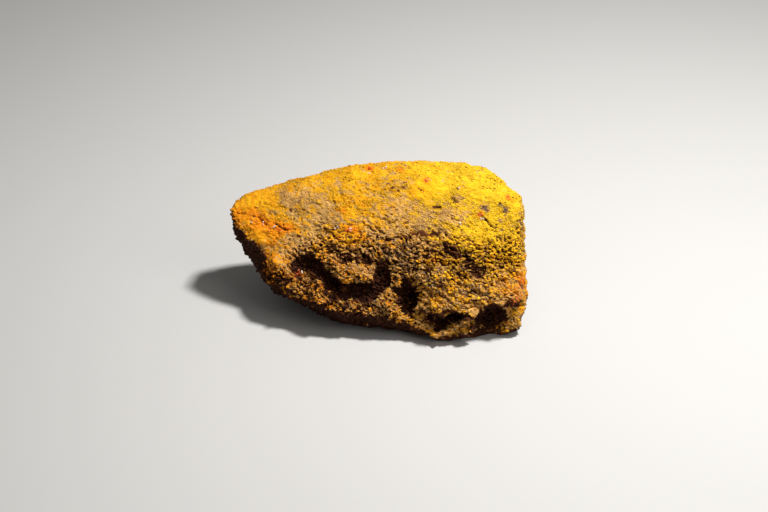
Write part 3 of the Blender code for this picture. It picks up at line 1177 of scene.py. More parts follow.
    def tone(self) -> np.ndarray:
        """How light or dark each point is, apart from its colour: a random tone and painted light and shade.

        Returns:
            One number a point.
        """
        x, z, low, n, steep = self.x, self.z, self.low, self.noise, self.noise.steep
        # Mostly painted light and shade: lighter on the plate (partly its purer sulfur), the front and the
        # ridges, darker on the high top and the upper left end, and on the lower front lighter to the right and
        # darker to the left; the bare patches are lighter.
        tone = 0.5 + 0.25 * self.plate + 0.10 * steep + 0.5 * self.ridges
        tone -= 0.16 * (1.0 - steep) * ramp(z, 24.0, 28.0) + 0.30 * ramp(x, -14.0, -30.0) * ramp(z, 20.5, 23.0)
        tone += 0.80 * ramp(x, 1.0, 6.0) * low - 0.42 * ramp(x, -6.0, -12.0) * low
        tone -= 0.20 * ramp(x, -2.0, -8.0) * low
        tone += 0.30 * ramp(x, 8.0, 12.0) * ramp(z, 14.0, 10.0)
        upper_front_light = 0.30 * ramp(x, 4.0, -6.0) * steep * ramp(z, 15.0, 18.0)
        tone += upper_front_light + 0.45 * np.clip(self.patches, 0.0, 0.5) * (1.0 - steep)
        tone += 0.20 * ramp(x, -20.0, -24.0) * ramp(z, 21.0, 19.5) * (1.0 - steep)
        # A random tone for each crumb and speck.
        tone += 0.7 * (n.pick - 0.5) * (0.4 + 0.6 * steep) + 0.5 * (n.speck - 0.5)
        return tone

    def covers(self) -> dict[Field, np.ndarray]:
        """Where crumbs and grains can lie, and where the crust is even.

        Returns:
            The three fields.
        """
        x, z, steep, calm = self.x, self.z, self.noise.steep, self.noise.calm
        bare = 1.0 - 0.92 * ramp(np.abs(self.facing[:, 0]), 0.35, 0.75)
        bare = bare * (1.0 - 0.95 * ramp(x, -23.0, -28.0) * ramp(z, 20.0, 16.0))
        bare = bare * ramp(self.up, -0.40, 0.05) * (1.0 - 0.85 * self.cave)
        bare = bare * (1.0 - ramp(self.dark, 0.35, 0.80))
        bare = bare * (1.0 - 0.9 * self.under) * (1.0 - self.plate) * (1.0 - self.cracks) * ramp(z, 0.8, 2.0)
        clumps = ramp(calm + 0.6 * (self.noise.speck - 0.5), 0.40, 0.54)
        crumbly = bare * steep * ramp(self.middle, 0.40, 0.05) * (0.15 + 0.85 * clumps)
        smooth = (1.0 - steep) * np.maximum(0.20 + 0.50 * ramp(calm, 0.42, 0.58), 0.85 * ramp(x, -19.0, -27.0))
        smooth *= 1.0 - np.minimum(summed(ROUGH_SPOTS, self.place), 1.0)
        smooth = np.maximum(0.8 * self.plate, smooth)
        dust = bare * (0.35 + 0.45 * steep + 0.20 * clumps) * (1.0 - 0.75 * smooth)
        return {Field.CRUMBLY: crumbly, Field.DUST: dust, Field.SMOOTH: smooth}


@dataclass
class Skin:
    """The stone's outer surface, as one closed mesh with its fields and its own flat map."""

    voxel: float = 0.28
    triangles: int = 196_000
    rounding: int = 14
    sizes: ReliefSizes = ReliefSizes()
    beds: Beds = Beds()
    rays: int = 40  # how many ways each point looks for the sky
    sight: float = 13.0
    near_steps: int = 8  # how wide a point's surroundings are, in steps along the edges
    wide_steps: int = 45
    coarse_steps: int = 26  # the same on the solid
    blend_steps: int = 30
    facing_steps: int = 120
    plate_rise: float = 0.16
    niche_way: Place = (0.1, 0.95, 0.3)
    ridge_way: Place = (0.1, -0.9, 0.4)
    smallest_island: int = 260  # faces
    island_passes: int = 6
    island_gap: float = 0.45
    body: bpy.types.Object = field(init=False)
    base: np.ndarray = field(init=False)
    facing: np.ndarray = field(init=False)
    plate: np.ndarray = field(init=False)

    def build(self, finish: "CrustFinish") -> bpy.types.Object:
        """Makes the skin, gives it its fields, its map and its finish, and puts it in the solid's place.

        Args:
            finish: the crust's finish.

        Returns:
            The skin.
        """
        solid = self.merged_copy()
        hidden = np.column_stack((self.occlusion(solid), self.sunken(solid)))
        mesh = self.raised(solid)
        self.base = read_rows(mesh.attributes["base"].data, "vector") / MM
        self.facing = read_rows(mesh.attributes["facing"].data, "vector")
        self.facing /= np.linalg.norm(self.facing, axis=1)[:, None]
        net = Neighbours(mesh)
        edge = 0.7 * (read_field(mesh, "patch") - 0.5) + 0.5 * (read_field(mesh, "speck") - 0.5)
        self.plate = ramp(PLATE.share(self.base) + edge, 0.36, 0.50)
        even = 1.0 - ramp(read_field(mesh, "steep"), 0.25, 0.75)
        self.body = new_object("crust_skin", mesh)
        points = self.carved(read_points(mesh))
        write_points(mesh, points)
        fine, middle = (net.sunken(points, self.facing, steps) for steps in (self.near_steps, self.wide_steps))
        noise = SimpleNamespace(**{name: read_field(mesh, name) for name in NOISES})
        hidden = self.transferred(solid, hidden, net)
        for name in ("base", "facing", *NOISES):
            mesh.attributes.remove(mesh.attributes[name])
        FieldMaker(self.base, self.facing, self.plate, hidden, fine, middle, noise).store(mesh)
        faces = FaceNet(mesh)
        self.unwrap(mesh, net, faces)
        mesh.polygons.foreach_set("use_smooth", faces.of_points(even)[:, 0] > 0.5)
        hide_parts(NODE)
        return finished(self.body, finish.material("powdery_crust"))

    def merged_copy(self) -> bpy.types.Mesh:
        """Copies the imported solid's mesh and merges its doubles.

        Returns:
            The copy.
        """
        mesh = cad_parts[NODE].data.copy()
        shape = bmesh.new()
        shape.from_mesh(mesh)
        bmesh.ops.remove_doubles(shape, verts=shape.verts, dist=0.002 * MM)
        shape.to_mesh(mesh)
        shape.free()
        return mesh

    def raised(self, solid: bpy.types.Mesh) -> bpy.types.Mesh:
        """The solid without its facets, with the crust's relief on it.

        Args:
            solid: the stone's coarse mesh.

        Returns:
            The fine mesh, thinned to the number of triangles.
        """
        form = new_object("even_form", solid)
        even = form.modifiers.new("even", "REMESH")
        even.mode = "VOXEL"
        even.voxel_size = self.voxel * MM
        smooth = form.modifiers.new("smooth", "SMOOTH")
        smooth.factor = 0.5
        smooth.iterations = self.rounding
        form.data = evaluated(form)
        form.data = Relief(self.sizes, self.beds).run(form)
        thin = form.modifiers.new("thin", "DECIMATE")
        thin.ratio = self.triangles / triangle_count(form.data)
        mesh = evaluated(form)
        bpy.data.objects.remove(form)
        return mesh

    def occlusion(self, solid: bpy.types.Mesh) -> np.ndarray:
        """How much of the sky each point of the solid can't see because of the stone itself.

        Args:
            solid: the stone's coarse mesh.

        Returns:
            The hidden share for each point.
        """
        tree = tree_of(solid)
        turn = math.pi * (3.0 - math.sqrt(5.0))
        fan = []
        for index in range(self.rays):
            out = math.sqrt((index + 0.5) / self.rays)
            across = (out * math.cos(turn * index), out * math.sin(turn * index))
            fan.append(Vector((*across, math.sqrt(1 - out * out))))
        hidden = np.zeros(len(solid.vertices))
        for vertex in solid.vertices:
            normal = vertex.normal
            side = normal.orthogonal().normalized()
            upright = Matrix((side, normal.cross(side), normal)).transposed()
            start = vertex.co + normal * (0.35 * MM)
            hits = sum(tree.ray_cast(start, upright @ ray, self.sight * MM)[0] is not None for ray in fan)
            hidden[vertex.index] = hits / self.rays
        return hidden

    def sunken(self, solid: bpy.types.Mesh) -> np.ndarray:
        """How far each point of the solid lies below its surroundings, in millimetres."""
        facing = read_rows(solid.vertex_normals, "vector")
        return Neighbours(solid).sunken(read_points(solid), facing, self.coarse_steps)

    def transferred(self, solid: bpy.types.Mesh, values: np.ndarray, net: Neighbours) -> np.ndarray:
        """Takes values of the coarse mesh's points over to the skin's points.

        Args:
            solid: the coarse mesh.
            values: one row for each of its points.
            net: the skin's edges.

        Returns:
            One row for each of the skin's points.
        """
        tree = KDTree(len(solid.vertices))
        for vertex in solid.vertices:
            tree.insert(vertex.co / MM, vertex.index)
        tree.balance()
        nearest = [tree.find(place)[1] for place in self.base]
        return net.average(values[np.array(nearest)], self.blend_steps)

    def carved(self, points: np.ndarray) -> np.ndarray:
        """Evens out and raises the plate, cuts the cracks and niches, and raises the ridges.

        Args:
            points: the skin's places.

        Returns:
            The new places, none of them below the ground.
        """
        level = self.plate[:, None]
        points = points + 0.5 * level * (self.base - points) + self.plate_rise * level * self.facing
        for trail in CRACKS:
            points = points - trail.step(self.base) * self.facing
        for spot in NICHES:
            points = points + np.minimum(spot.share(self.base), 1.0)[:, None] * np.array(self.niche_way)
        for trail in RIDGES:
            points = points - trail.step(self.base) * np.array(self.ridge_way)
        points[:, 2] = np.maximum(points[:, 2], 0.0)
        return points

    def unwrap(self, mesh: bpy.types.Mesh, net: Neighbours, faces: FaceNet) -> None:
        """Lays the skin out flat: each patch that faces much the same way is one island of the map.

        Args:
            mesh: the skin.
            net: its edges.
            faces: its faces.
        """
        ways = np.vstack((np.eye(3), -np.eye(3)))
        facing = faces.of_points(net.average(self.facing, self.facing_steps))
        labels = np.argmax(facing @ ways.T, axis=1)
        for _ in range(self.island_passes):
            group = faces.islands(labels)
            small = np.bincount(group)[group] < self.smallest_island
            if not small.any():
                break
            votes = np.zeros((faces.count, len(ways)))
            np.add.at(votes, (faces.one, labels[faces.other]), 1.0 - small[faces.other])
            np.add.at(votes, (faces.other, labels[faces.one]), 1.0 - small[faces.one])
            island_votes = np.zeros((group.max() + 1, len(ways)))
            np.add.at(island_votes, group, votes)
            labels = np.where(small, np.argmax(island_votes, axis=1)[group], labels)
        group = faces.islands(labels)
        flat = np.zeros((len(faces.corner_point), 2))
        boxes = []
        corner_group = group[faces.corner_face]
        for island in range(group.max() + 1):
            chosen = np.nonzero(corner_group == island)[0]
            way = labels[faces.corner_face[chosen[0]]] % 3
            axes = [axis for axis in range(3) if axis != way]
            sheet = self.base[faces.corner_point[chosen]][:, axes]
            sheet = sheet - sheet.min(axis=0)
            if sheet[:, 1].max() > sheet[:, 0].max():
                sheet = sheet[:, ::-1]
            flat[chosen] = sheet
            boxes.append((sheet[:, 1].max(), sheet[:, 0].max(), chosen))
        write_map(mesh, shelved(flat, boxes, self.island_gap))


def shelved(flat: np.ndarray, boxes: list[tuple[float, float, np.ndarray]], gap: float) -> np.ndarray:
    """Sets islands side by side on shelves, in the smallest square that holds them.

    Args:
        flat: each corner's place in its island, whose own corner is at 0, 0.
        boxes: each island's height, width and corners.
        gap: the space between islands.

    Returns:
        Each corner's place on the map, from 0 to 1.
    """
    boxes = sorted(boxes, key=lambda box: -box[0])
    side = max(box[1] for box in boxes) + 2 * gap
    while True:
        left, low, shelf, places = gap, gap, 0.0, []
        for high, wide, _ in boxes:
            if left + wide + gap > side:
                left, low, shelf = gap, low + shelf + gap, 0.0
            places.append((left, low))
            left += wide + gap
            shelf = max(shelf, high)
        if low + shelf + gap <= side:
            break
        side *= 1.01
    laid = flat.copy()
    for (_, _, chosen), place in zip(boxes, places):
        laid[chosen] += place
    return laid / side


def write_map(mesh: bpy.types.Mesh, places: np.ndarray) -> None:
    """Stores the flat map that the finish is read on."""
    layer = mesh.uv_layers.get(BAKE_MAP) or mesh.uv_layers.new(name=BAKE_MAP)
    layer.uv.foreach_set("vector", places.astype(np.float32).ravel())


# ---- Loose crumbs ----


@dataclass
class ChipKinds:
    """A few angular chips that the crumb layers pick from. Each is 1 across and has a flat underside."""

    count: int = 8
    feet: int = 3
    corners: int = 5
    sole: float = -0.34  # how high the underside is
    seed: int = 11
    shelf: bpy.types.Collection = field(init=False)

    def build(self) -> None:
        """Makes the chips in a collection that isn't shown."""
        self.shelf = bpy.data.collections.new("chip_kinds")
        draw = np.random.default_rng(self.seed)
        for index in range(self.count):
            self.shelf.objects.link(bpy.data.objects.new(f"chip_{index}", self.chip(draw)))

    def chip(self, draw: np.random.Generator) -> bpy.types.Mesh:
        """One chip: the hull of a few points, with its faces laid out on the unit square.

        Args:
            draw: the source of its random corners.

        Returns:
            The chip's mesh, about 1 across before it is scaled down.
        """
        shape = bmesh.new()
        for spoke in range(self.feet):
            angle = 2 * math.pi * (spoke + draw.uniform(-0.3, 0.3)) / self.feet
            reach = draw.uniform(0.34, 0.5)
            shape.verts.new((reach * math.cos(angle), reach * math.sin(angle), self.sole))
        for spoke in range(self.corners):
            angle = 2 * math.pi * (spoke + draw.uniform(-0.5, 0.5)) / self.corners
            rise = draw.uniform(-0.12, 0.42)
            reach = draw.uniform(0.36, 0.58) * math.sqrt(max(0.05, 1.0 - max(rise, 0.0) * 1.7))
            shape.verts.new((reach * math.cos(angle), reach * math.sin(angle), rise))
        bmesh.ops.convex_hull(shape, input=shape.verts)
        loose = [v for v in shape.verts if not v.link_faces]
        bmesh.ops.delete(shape, geom=loose, context="VERTS")
        bmesh.ops.recalc_face_normals(shape, faces=shape.faces)
        layer = shape.loops.layers.uv.new(BAKE_MAP)
        for face in shape.faces:
            below = all(v.co.z < self.sole + 0.01 for v in face.verts)
            for loop in face.loops:
                loop[layer].uv = self.unrolled(loop.vert.co, below)
        return plain_mesh("chip", shape)

    def unrolled(self, corner: Vector, below: bool) -> tuple[float, float]:
        """A corner's place on the chip's square: the top and sides as a disc, the underside as a small one.

        Args:
            corner: the corner.
            below: whether it is read as a corner of the underside.

        Returns:
            Its place, from 0 to 1.
        """
        if below:
            return 0.9 + 0.16 * corner.x, 0.9 + 0.16 * corner.y
        way = corner.normalized()
        spread = math.acos(max(-1.0, min(1.0, way.z))) / math.pi
        flat = math.hypot(way.x, way.y) or 1.0
        return 0.46 + 0.58 * spread * way.x / flat, 0.46 + 0.58 * spread * way.y / flat


@dataclass
class CrumbLayer:
    """Crumbs of one size that lie on the skin, thickest where it is crumbly."""

    name: str
    where: Field
    spacing: float
    density: float  # crumbs a square millimetre at most
    smallest: float
    largest: float
    seed: int
    lift: float = 0.0  # how far a crumb is raised, as a share of its size
    contrast: float = 0.9

    def build(self, skin: Skin, kinds: ChipKinds, finish: "CrustFinish") -> bpy.types.Object:
        """Scatters the crumbs, joins them in one mesh and dresses it.

        Args:
            skin: what they lie on.
            kinds: the chips to pick from.
            finish: their finish.

        Returns:
            The crumbs.
        """
        material = finish.material(self.name)
        mesh = self.scattered(skin, kinds, material)
        points = read_points(mesh)
        points[:, 2] = np.maximum(points[:, 2], 0.0)
        write_points(mesh, points)
        self.lay_out(mesh)
        mesh.attributes.remove(mesh.attributes["chip"])
        mesh.shade_flat()
        return finished(new_object(self.name, mesh), material)

    def scattered(self, skin: Skin, kinds: ChipKinds, material: bpy.types.Material) -> bpy.types.Mesh:
        """Scatters the crumbs on the skin.

        Args:
            skin: what they lie on.
            kinds: the chips to pick from.
            material: what they are made of.

        Returns:
            The crumbs as one mesh, each with a number of its own in the field chip.
        """
        recipe = GeometryRecipe(self.name)
        w = recipe.wires
        spacing = recipe.input("Spacing", self.spacing * MM)
        density = recipe.input("Density", self.density / MM**2)
        smallest = recipe.input("Smallest", self.smallest * MM)
        largest = recipe.input("Largest", self.largest * MM)
        lift = recipe.input("Lift", self.lift)
        contrast = recipe.input("Contrast", self.contrast)
        seed = recipe.input("Seed", self.seed, "Int")
        chips = recipe.input("Chips", kinds.shelf, "Collection")
        crust = recipe.input("Crust", material, "Material")

        inputs = {"Mesh": recipe.start, "Distance Min": spacing, "Density Max": density}
        inputs |= {"Density Factor": recipe.named(self.where), "Seed": seed}
        spread = w.add("GeometryNodeDistributePointsOnFaces", {"distribute_method": "POISSON"}, inputs)
        points, normal = (Value(w, spread.outputs[name]) for name in ("Points", "Normal"))
        turned = self.turned(recipe, normal, skin.beds, seed)

        size = w.between(w.math("POWER", recipe.random(seed + 2), 1.6), smallest, largest)
        size = size * w.math("ADD", 0.55, recipe.named(Field.CRUMBLY) * 0.45)
        scale = w.scaled(recipe.random_vector((0.8, 0.7, 0.40), (1.3, 1.1, 0.80), seed + 3), size)
        inputs = {"Geometry": points, "Offset": w.scaled(normal, size * lift)}
        shape = w.get("GeometryNodeSetPosition", inputs=inputs)
        shape = recipe.store(shape, "chip", w.get("GeometryNodeInputIndex"))
        tone, yellow, glow = (recipe.random(seed + step) - 0.5 for step in (4, 5, 6))
        shape = recipe.store(shape, Field.TONE, w.math("ADD", 0.72, tone * contrast))
        shape = recipe.store(shape, Field.SULFUR, recipe.named(Field.SULFUR) + (yellow - 0.12) * contrast)
        shape = recipe.store(shape, Field.WARMTH, recipe.named(Field.WARMTH) + glow * 0.7)
        # The crumbs take half of the skin's depth, and with it half of its painted shade.
        shape = recipe.store(shape, Field.DEPTH, recipe.named(Field.DEPTH) * 0.52)

        box = w.get("GeometryNodeCollectionInfo", inputs={0: chips, 1: True, 2: True})
        last = kinds.count - 1
        kind = w.get("FunctionNodeRandomValue", {"data_type": "INT"}, {4: 0, 5: last, 8: seed}, 2)
        inputs = {"Points": shape, "Instance": box, "Pick Instance": True}
        inputs |= {"Instance Index": kind, "Rotation": turned, "Scale": scale}
        placed = w.get("GeometryNodeInstanceOnPoints", inputs=inputs)
        real = w.get("GeometryNodeRealizeInstances", inputs={0: placed})
        return recipe.run(skin.body, w.get("GeometryNodeSetMaterial", inputs={0: real, "Material": crust}))

    def turned(self, recipe: GeometryRecipe, normal: Value, beds: Beds, seed: Value) -> Value:
        """How each crumb is turned: half as the skin faces, half as the beds lie, and a little at random.

        Args:
            recipe: the tree to add to.
            normal: the way the skin faces.
            beds: the beds.
            seed: the seed.

        Returns:
            The rotation.
        """
        w = recipe.wires
        rise = w.vector("ADD", w.scaled(normal, 0.5), w.scaled(beds.normal, 0.5))
        upright = w.get("FunctionNodeAlignRotationToVector", {"axis": "Z"}, {"Vector": rise})
        strike = w.vector("CROSS_PRODUCT", rise, w.vector("CROSS_PRODUCT", (1.0, 0.0, 0.0), rise))
        inputs = {"Rotation": upright, "Vector": strike}
        along = w.get("FunctionNodeAlignRotationToVector", {"axis": "X", "pivot_axis": "Z"}, inputs)
        wobble = recipe.random_vector((-0.6, -0.5, -0.8), (0.6, 0.5, 0.8), seed + 1)
        inputs = {"Rotation": along, "Rotate By": w.get("FunctionNodeEulerToRotation", inputs={0: wobble})}
        return w.get("FunctionNodeRotateRotation", {"rotation_space": "LOCAL"}, inputs)

    def lay_out(self, mesh: bpy.types.Mesh) -> None:
        """Gives each crumb its own square of the map.

        Args:
            mesh: the crumbs.
        """
        number = np.unique(read_field(mesh, "chip").astype(np.int64), return_inverse=True)[1]
        corner = np.empty(len(mesh.loops), np.int32)
        mesh.loops.foreach_get("vertex_index", corner)
        places = np.empty(len(mesh.loops) * 2, np.float32)
        mesh.uv_layers[BAKE_MAP].uv.foreach_get("vector", places)
        rows = math.ceil(math.sqrt(number.max() + 1))
        cell = number[corner]
        start = np.column_stack((cell % rows, cell // rows))
        write_map(mesh, (start + 0.04 + 0.92 * places.reshape(-1, 2)) / rows)


# ---- Glassy crystals ----


@dataclass
class Glints:
    """Small glassy crystals that sit in the crust in clusters."""

    name: str
    places: tuple[Place, ...]
    longest: float
    in_cluster: int
    seed: int
    sides: int = 5

    def build(self, skin: Skin, finish: "CrystalFinish") -> bpy.types.Object:
        """Makes the clusters where the skin is nearest to each place.

        Args:
            skin: what they sit in.
            finish: their finish.

        Returns:
            The crystals.
        """
        draw = np.random.default_rng(self.seed)
        tree = tree_of(skin.body.data)
        shape = bmesh.new()
        layer = shape.loops.layers.uv.new(BAKE_MAP)
        total = len(self.places) * self.in_cluster
        rows = math.ceil(math.sqrt(total))
        for number in range(total):
            place, normal, _, _ = tree.find_nearest(Vector(self.places[number // self.in_cluster]) * MM)
            side = normal.orthogonal().normalized()
            across = normal.cross(side)
            shift = side * draw.normal(0, 0.42) + across * draw.normal(0, 0.30)
            seat, seat_normal, _, _ = tree.find_nearest(place + shift * MM)
            lean = (seat_normal + 0.55 * Vector(draw.normal(0, 1, 3))).normalized()
            length = self.longest * draw.uniform(0.4, 1.0)
            faces = self.crystal(shape, seat, lean, length, draw)
            self.lay_out(faces, layer, (number % rows, number // rows), rows)
        mesh = plain_mesh(self.name, shape)
        mesh.shade_flat()
        return finished(new_object(self.name, mesh), finish.material(self.name))

    def crystal(
        self, shape: bmesh.types.BMesh, seat: Vector, lean: Vector, length: float, draw: np.random.Generator
    ) -> list[bmesh.types.BMFace]:
        """Adds one blocky crystal: a prism that narrows to a slanting top.

        Args:
            shape: the mesh to add to.
            seat: where it grows, in metres.
            lean: the way it points.
            length: its length.
            draw: the source of its random shape.

        Returns:
            Its faces.
        """
        side = lean.orthogonal().normalized()
        across = lean.cross(side)
        wide = length * draw.uniform(0.35, 0.55)
        rings = []
        for rise, reach in ((-0.35, 0.9), (0.4, 1.0), (0.62, draw.uniform(0.3, 0.6))):
            ring = []
            for corner in range(self.sides):
                angle = 2 * math.pi * corner / self.sides
                out = side * math.cos(angle) + across * math.sin(angle)
                tilt = 0.18 * math.cos(angle) * (rise > 0)
                ring.append(shape.verts.new(seat + (out * reach * wide + lean * (rise + tilt) * length) * MM))
            rings.append(ring)
        faces = [shape.faces.new(rings[0][::-1]), shape.faces.new(rings[2])]
        for low, high in zip(rings, rings[1:]):
            for corner in range(self.sides):
                after = (corner + 1) % self.sides
                faces.append(shape.faces.new((low[corner], low[after], high[after], high[corner])))
        return faces

    def lay_out(
        self, faces: list[bmesh.types.BMFace], layer: bmesh.types.BMLayerItem, cell: tuple[int, int], rows: int
    ) -> None:
        """Gives each face of a crystal its own part of the crystal's square of the map.

        Args:
            faces: the faces, at most 16.
            layer: the map.
            cell: the crystal's square.
            rows: how many squares the map has along a side.
        """
        for slot, face in enumerate(faces):
            for index, loop in enumerate(face.loops):
                angle = 2 * math.pi * index / len(face.loops)
                spot = (slot % 4 + 0.5 + 0.42 * math.cos(angle), slot // 4 + 0.5 + 0.42 * math.sin(angle))
                loop[layer].uv = ((cell[0] + spot[0] / 4) / rows, (cell[1] + spot[1] / 4) / rows)


# ---- Finishes ----


def new_material(name: str, specular: float | None = None) -> tuple[bpy.types.Material, Wiring, dict]:
    """Starts a material.

    Args:
        name: its name.
        specular: how strongly it mirrors, if not as usual.

    Returns:
        The material, what adds nodes to it, and its surface's inputs.
    """
    material = bpy.data.materials.new(name)
    material.use_nodes = True
    surface = material.node_tree.nodes["Principled BSDF"].inputs
    if specular is not None:
        surface["Specular IOR Level"].default_value = specular
    return material, Wiring(material.node_tree), surface


@dataclass(frozen=True)
class CrustFinish:
    """Powdery sulfur over taupe rock, with painted shade in its gaps, hollows and underside, and orange-red
    stains.
    """

    lemon: tuple = linear(255, 203, 28)
    golden: tuple = linear(252, 180, 10)
    orange: tuple = linear(246, 146, 4)
    taupe: tuple = linear(236, 180, 98)
    mauve: tuple = linear(212, 160, 88)
    slate: tuple = linear(110, 92, 80)
    # These two paint the shade of gaps, hollows and the underside, and the dark of real pits and cracks.
    umber: tuple = linear(108, 54, 12)
    gap: tuple = linear(66, 27, 4)
    ember: tuple = linear(238, 108, 24)
    blood: tuple = linear(140, 26, 10)
    grain_width: float = 0.52
    blotch_width: float = 3.2
    granule_width: float = 0.50
    flake_width: float = 0.76
    pinholes: float = 0.19  # share of the flakes that have a pinhole
    beds: Beds = Beds()
    bump: float = 0.38

    # The fields that the colour is worked out from.
    READ = (Field.SULFUR, Field.WARMTH, Field.RED, Field.DEPTH, Field.ROCK, Field.TONE, Field.SMOOTH)

    def shared(self) -> bpy.types.NodeTree:
        """The group of nodes that works out the crust's colour, roughness and height, built once.

        Returns:
            The group.
        """
        group = bpy.data.node_groups.get("crust_colour")
        if group:
            return group
        group = bpy.data.node_groups.new("crust_colour", "ShaderNodeTree")
        w = Wiring(group)
        for name in (*(item.value.title() for item in self.READ), "Grain Width", "Blotch Width"):
            group.interface.new_socket(name, in_out="INPUT", socket_type="NodeSocketFloat")
        group.interface.new_socket("Place", in_out="INPUT", socket_type="NodeSocketVector")
        for name, kind in (("Color", "Color"), ("Roughness", "Float"), ("Height", "Float")):
            group.interface.new_socket(name, in_out="OUTPUT", socket_type=f"NodeSocket{kind}")
        outputs = group.nodes.new("NodeGroupInput").outputs
        given = {output.name: Value(w, output) for output in outputs if output.name}
        result = group.nodes.new("NodeGroupOutput").inputs
        p = self.pattern(w, given)
        w.feed(result["Color"], self.darkened(w, given, p, self.stained(w, given, p)))
        w.feed(result["Roughness"], w.stepped(p.even_grain, 0.2, 0.8, 0.78, 0.98))
        w.feed(result["Height"], p.gritty + p.even_speck * 0.8 + p.odd * 0.6 - p.edge * 0.8 - p.pinhole * 1.2)
        return group

    def pattern(self, w: Wiring, given: dict[str, Value]) -> SimpleNamespace:
        """The grains, granules, flakes and pinholes of the crust.

        Args:
            w: what adds the nodes.
            given: the group's inputs.

        Returns:
            Each part of the pattern under its name.
        """
        bed = w.bedded(w.bent(w.scaled(given["Place"], 1.0 / MM), 1.5, 0.9), self.beds)
        p = SimpleNamespace()
        p.even_grain = w.noise(bed, given["Grain Width"], 3.0, 0.65)
        p.even_speck = w.noise(bed, 1.2, 3.0, 0.6)
        p.grain, p.speck = p.even_grain - 0.5, p.even_speck - 0.5
        p.blotch = w.noise(bed, given["Blotch Width"], 4.0, 0.65) - 0.5
        rough = 1.0 - given["Smooth"] * 0.90
        p.gritty = p.grain * w.math("ADD", 0.4, rough * 0.6)
        near, color, _ = w.cells(bed, self.granule_width)
        chance = w.parts(color)
        p.odd = (chance[0] - 0.5) * rough
        p.coat = (chance[1] - 0.5) * rough
        p.edge = w.stepped(near, 0.30, 0.62) * rough
        near, color, _ = w.cells(bed, self.flake_width)
        luck = w.parts(color)
        clear = w.math("MINIMUM", rough * 1.7, 1.0)
        rare = w.stepped(luck[0], 1.0 - self.pinholes, 1.06 - self.pinholes) * clear
        p.pinhole = w.stepped(near + p.grain * -0.9, 0.46, 0.16) * rare
        p.ruddy = w.stepped(luck[1], 0.90, 1.0, 0.0, 0.55)
        return p

    def stained(self, w: Wiring, given: dict[str, Value], p: SimpleNamespace) -> Value:
        """Yellow crust over bare rock, with the stains on both.

        Args:
            w: what adds the nodes.
            given: the group's inputs.
            p: the pattern.

        Returns:
            The colour.
        """
        cover = given["Sulfur"] + p.grain * 0.6 + p.blotch * 2.0 + p.speck * 1.6 + p.coat * 0.26
        warm = given["Warmth"] + p.blotch * 0.9 + given["Red"] * 0.8 + p.grain * 0.9 + p.coat * -0.35
        yellow = w.mixed(w.stepped(warm, 0.05, 0.55), self.lemon, self.golden)
        yellow = w.mixed(w.stepped(warm, 0.50, 1.0), yellow, self.orange)
        stone = given["Rock"] + p.grain * 0.9 + p.odd * 0.5
        bare = w.mixed(w.stepped(stone, 0.30, 0.62), self.taupe, self.mauve)
        bare = w.mixed(w.stepped(stone, 0.76, 1.06), bare, self.slate)
        color = w.mixed(w.stepped(cover, 0.37, 0.67), bare, yellow)
        stain = w.math("MAXIMUM", given["Red"], p.ruddy) + p.speck * 1.7 + p.grain * 1.3
        color = w.mixed(w.stepped(stain, 0.56, 1.0) * 0.85, color, self.ember)
        return w.mixed(w.stepped(stain, 1.10, 1.40), color, self.blood)

    def darkened(self, w: Wiring, given: dict[str, Value], p: SimpleNamespace, color: Value) -> Value:
        """Painted light and shade: lighter and darker grains by their tone, and painted shade in gaps, hollows
        and on the underside, with the dark of real pinholes.

        Args:
            w: what adds the nodes.
            given: the group's inputs.
            p: the pattern.
            color: the colour without them.

        Returns:
            The colour with them.
        """
        light = given["Tone"] * 0.50 + 0.78 + p.gritty * 0.75 + p.odd * 0.46 - p.edge * 0.26
        light = w.math("MINIMUM", light, 1.15)
        # Darker points are painted redder as well as darker.
        green, blue = (w.math("POWER", light, power) for power in (1.2, 1.55))
        shade = w.get("ShaderNodeCombineColor", inputs={0: light, 1: green, 2: blue})
        color = w.mixed(1.0, color, shade, "MULTIPLY")
        # Painted shade of gaps, hollows and the underside, and real pinholes.
        deep = w.math("MAXIMUM", given["Depth"], p.pinhole * 0.85) + p.grain * -0.45 + p.odd * -0.25
        color = w.mixed(w.stepped(deep, 0.18, 0.58), color, self.umber)
        return w.mixed(w.stepped(deep, 0.55, 0.95), color, self.gap)

    def material(self, name: str) -> bpy.types.Material:
        """The crust as a material.

        Args:
            name: the material's name.

        Returns:
            The new material.
        """
        material, w, surface = new_material(name, 0.25)
        inputs = {"Place": w.get("ShaderNodeTexCoord", output="Object")}
        inputs |= {"Grain Width": self.grain_width, "Blotch Width": self.blotch_width}
        for item in self.READ:
            stored = w.get("ShaderNodeAttribute", {"attribute_name": item.value}, output="Fac")
            inputs[item.value.title()] = stored
        crust = w.add("ShaderNodeGroup", {"node_tree": self.shared()}, inputs).outputs
        inputs = {"Strength": 0.9, "Distance": self.bump * MM, "Height": Value(w, crust["Height"])}
        w.feed(surface["Base Color"], Value(w, crust["Color"]))
        w.feed(surface["Roughness"], Value(w, crust["Roughness"]))
        w.feed(surface["Normal"], w.get("ShaderNodeBump", inputs=inputs))
        return material


@dataclass(frozen=True)
class CrystalFinish:
    """A small glassy crystal, paler along its flaws."""

    clear: tuple
    cloudy: tuple
    roughness: float = 0.16

    def material(self, name: str) -> bpy.types.Material:
        """The crystal as a material.

        Args:
            name: the material's name.

        Returns:
            The new material.
        """
        material, w, surface = new_material(name, 0.8)
        flaw = w.noise(w.scaled(w.get("ShaderNodeTexCoord", output="Object"), 1.0 / MM), 0.5)
        w.feed(surface["Base Color"], w.mixed(w.stepped(flaw, 0.35, 0.65), self.clear, self.cloudy))
        w.feed(surface["Roughness"], w.stepped(flaw, 0.3, 0.7, self.roughness, 3 * self.roughness))
        return material


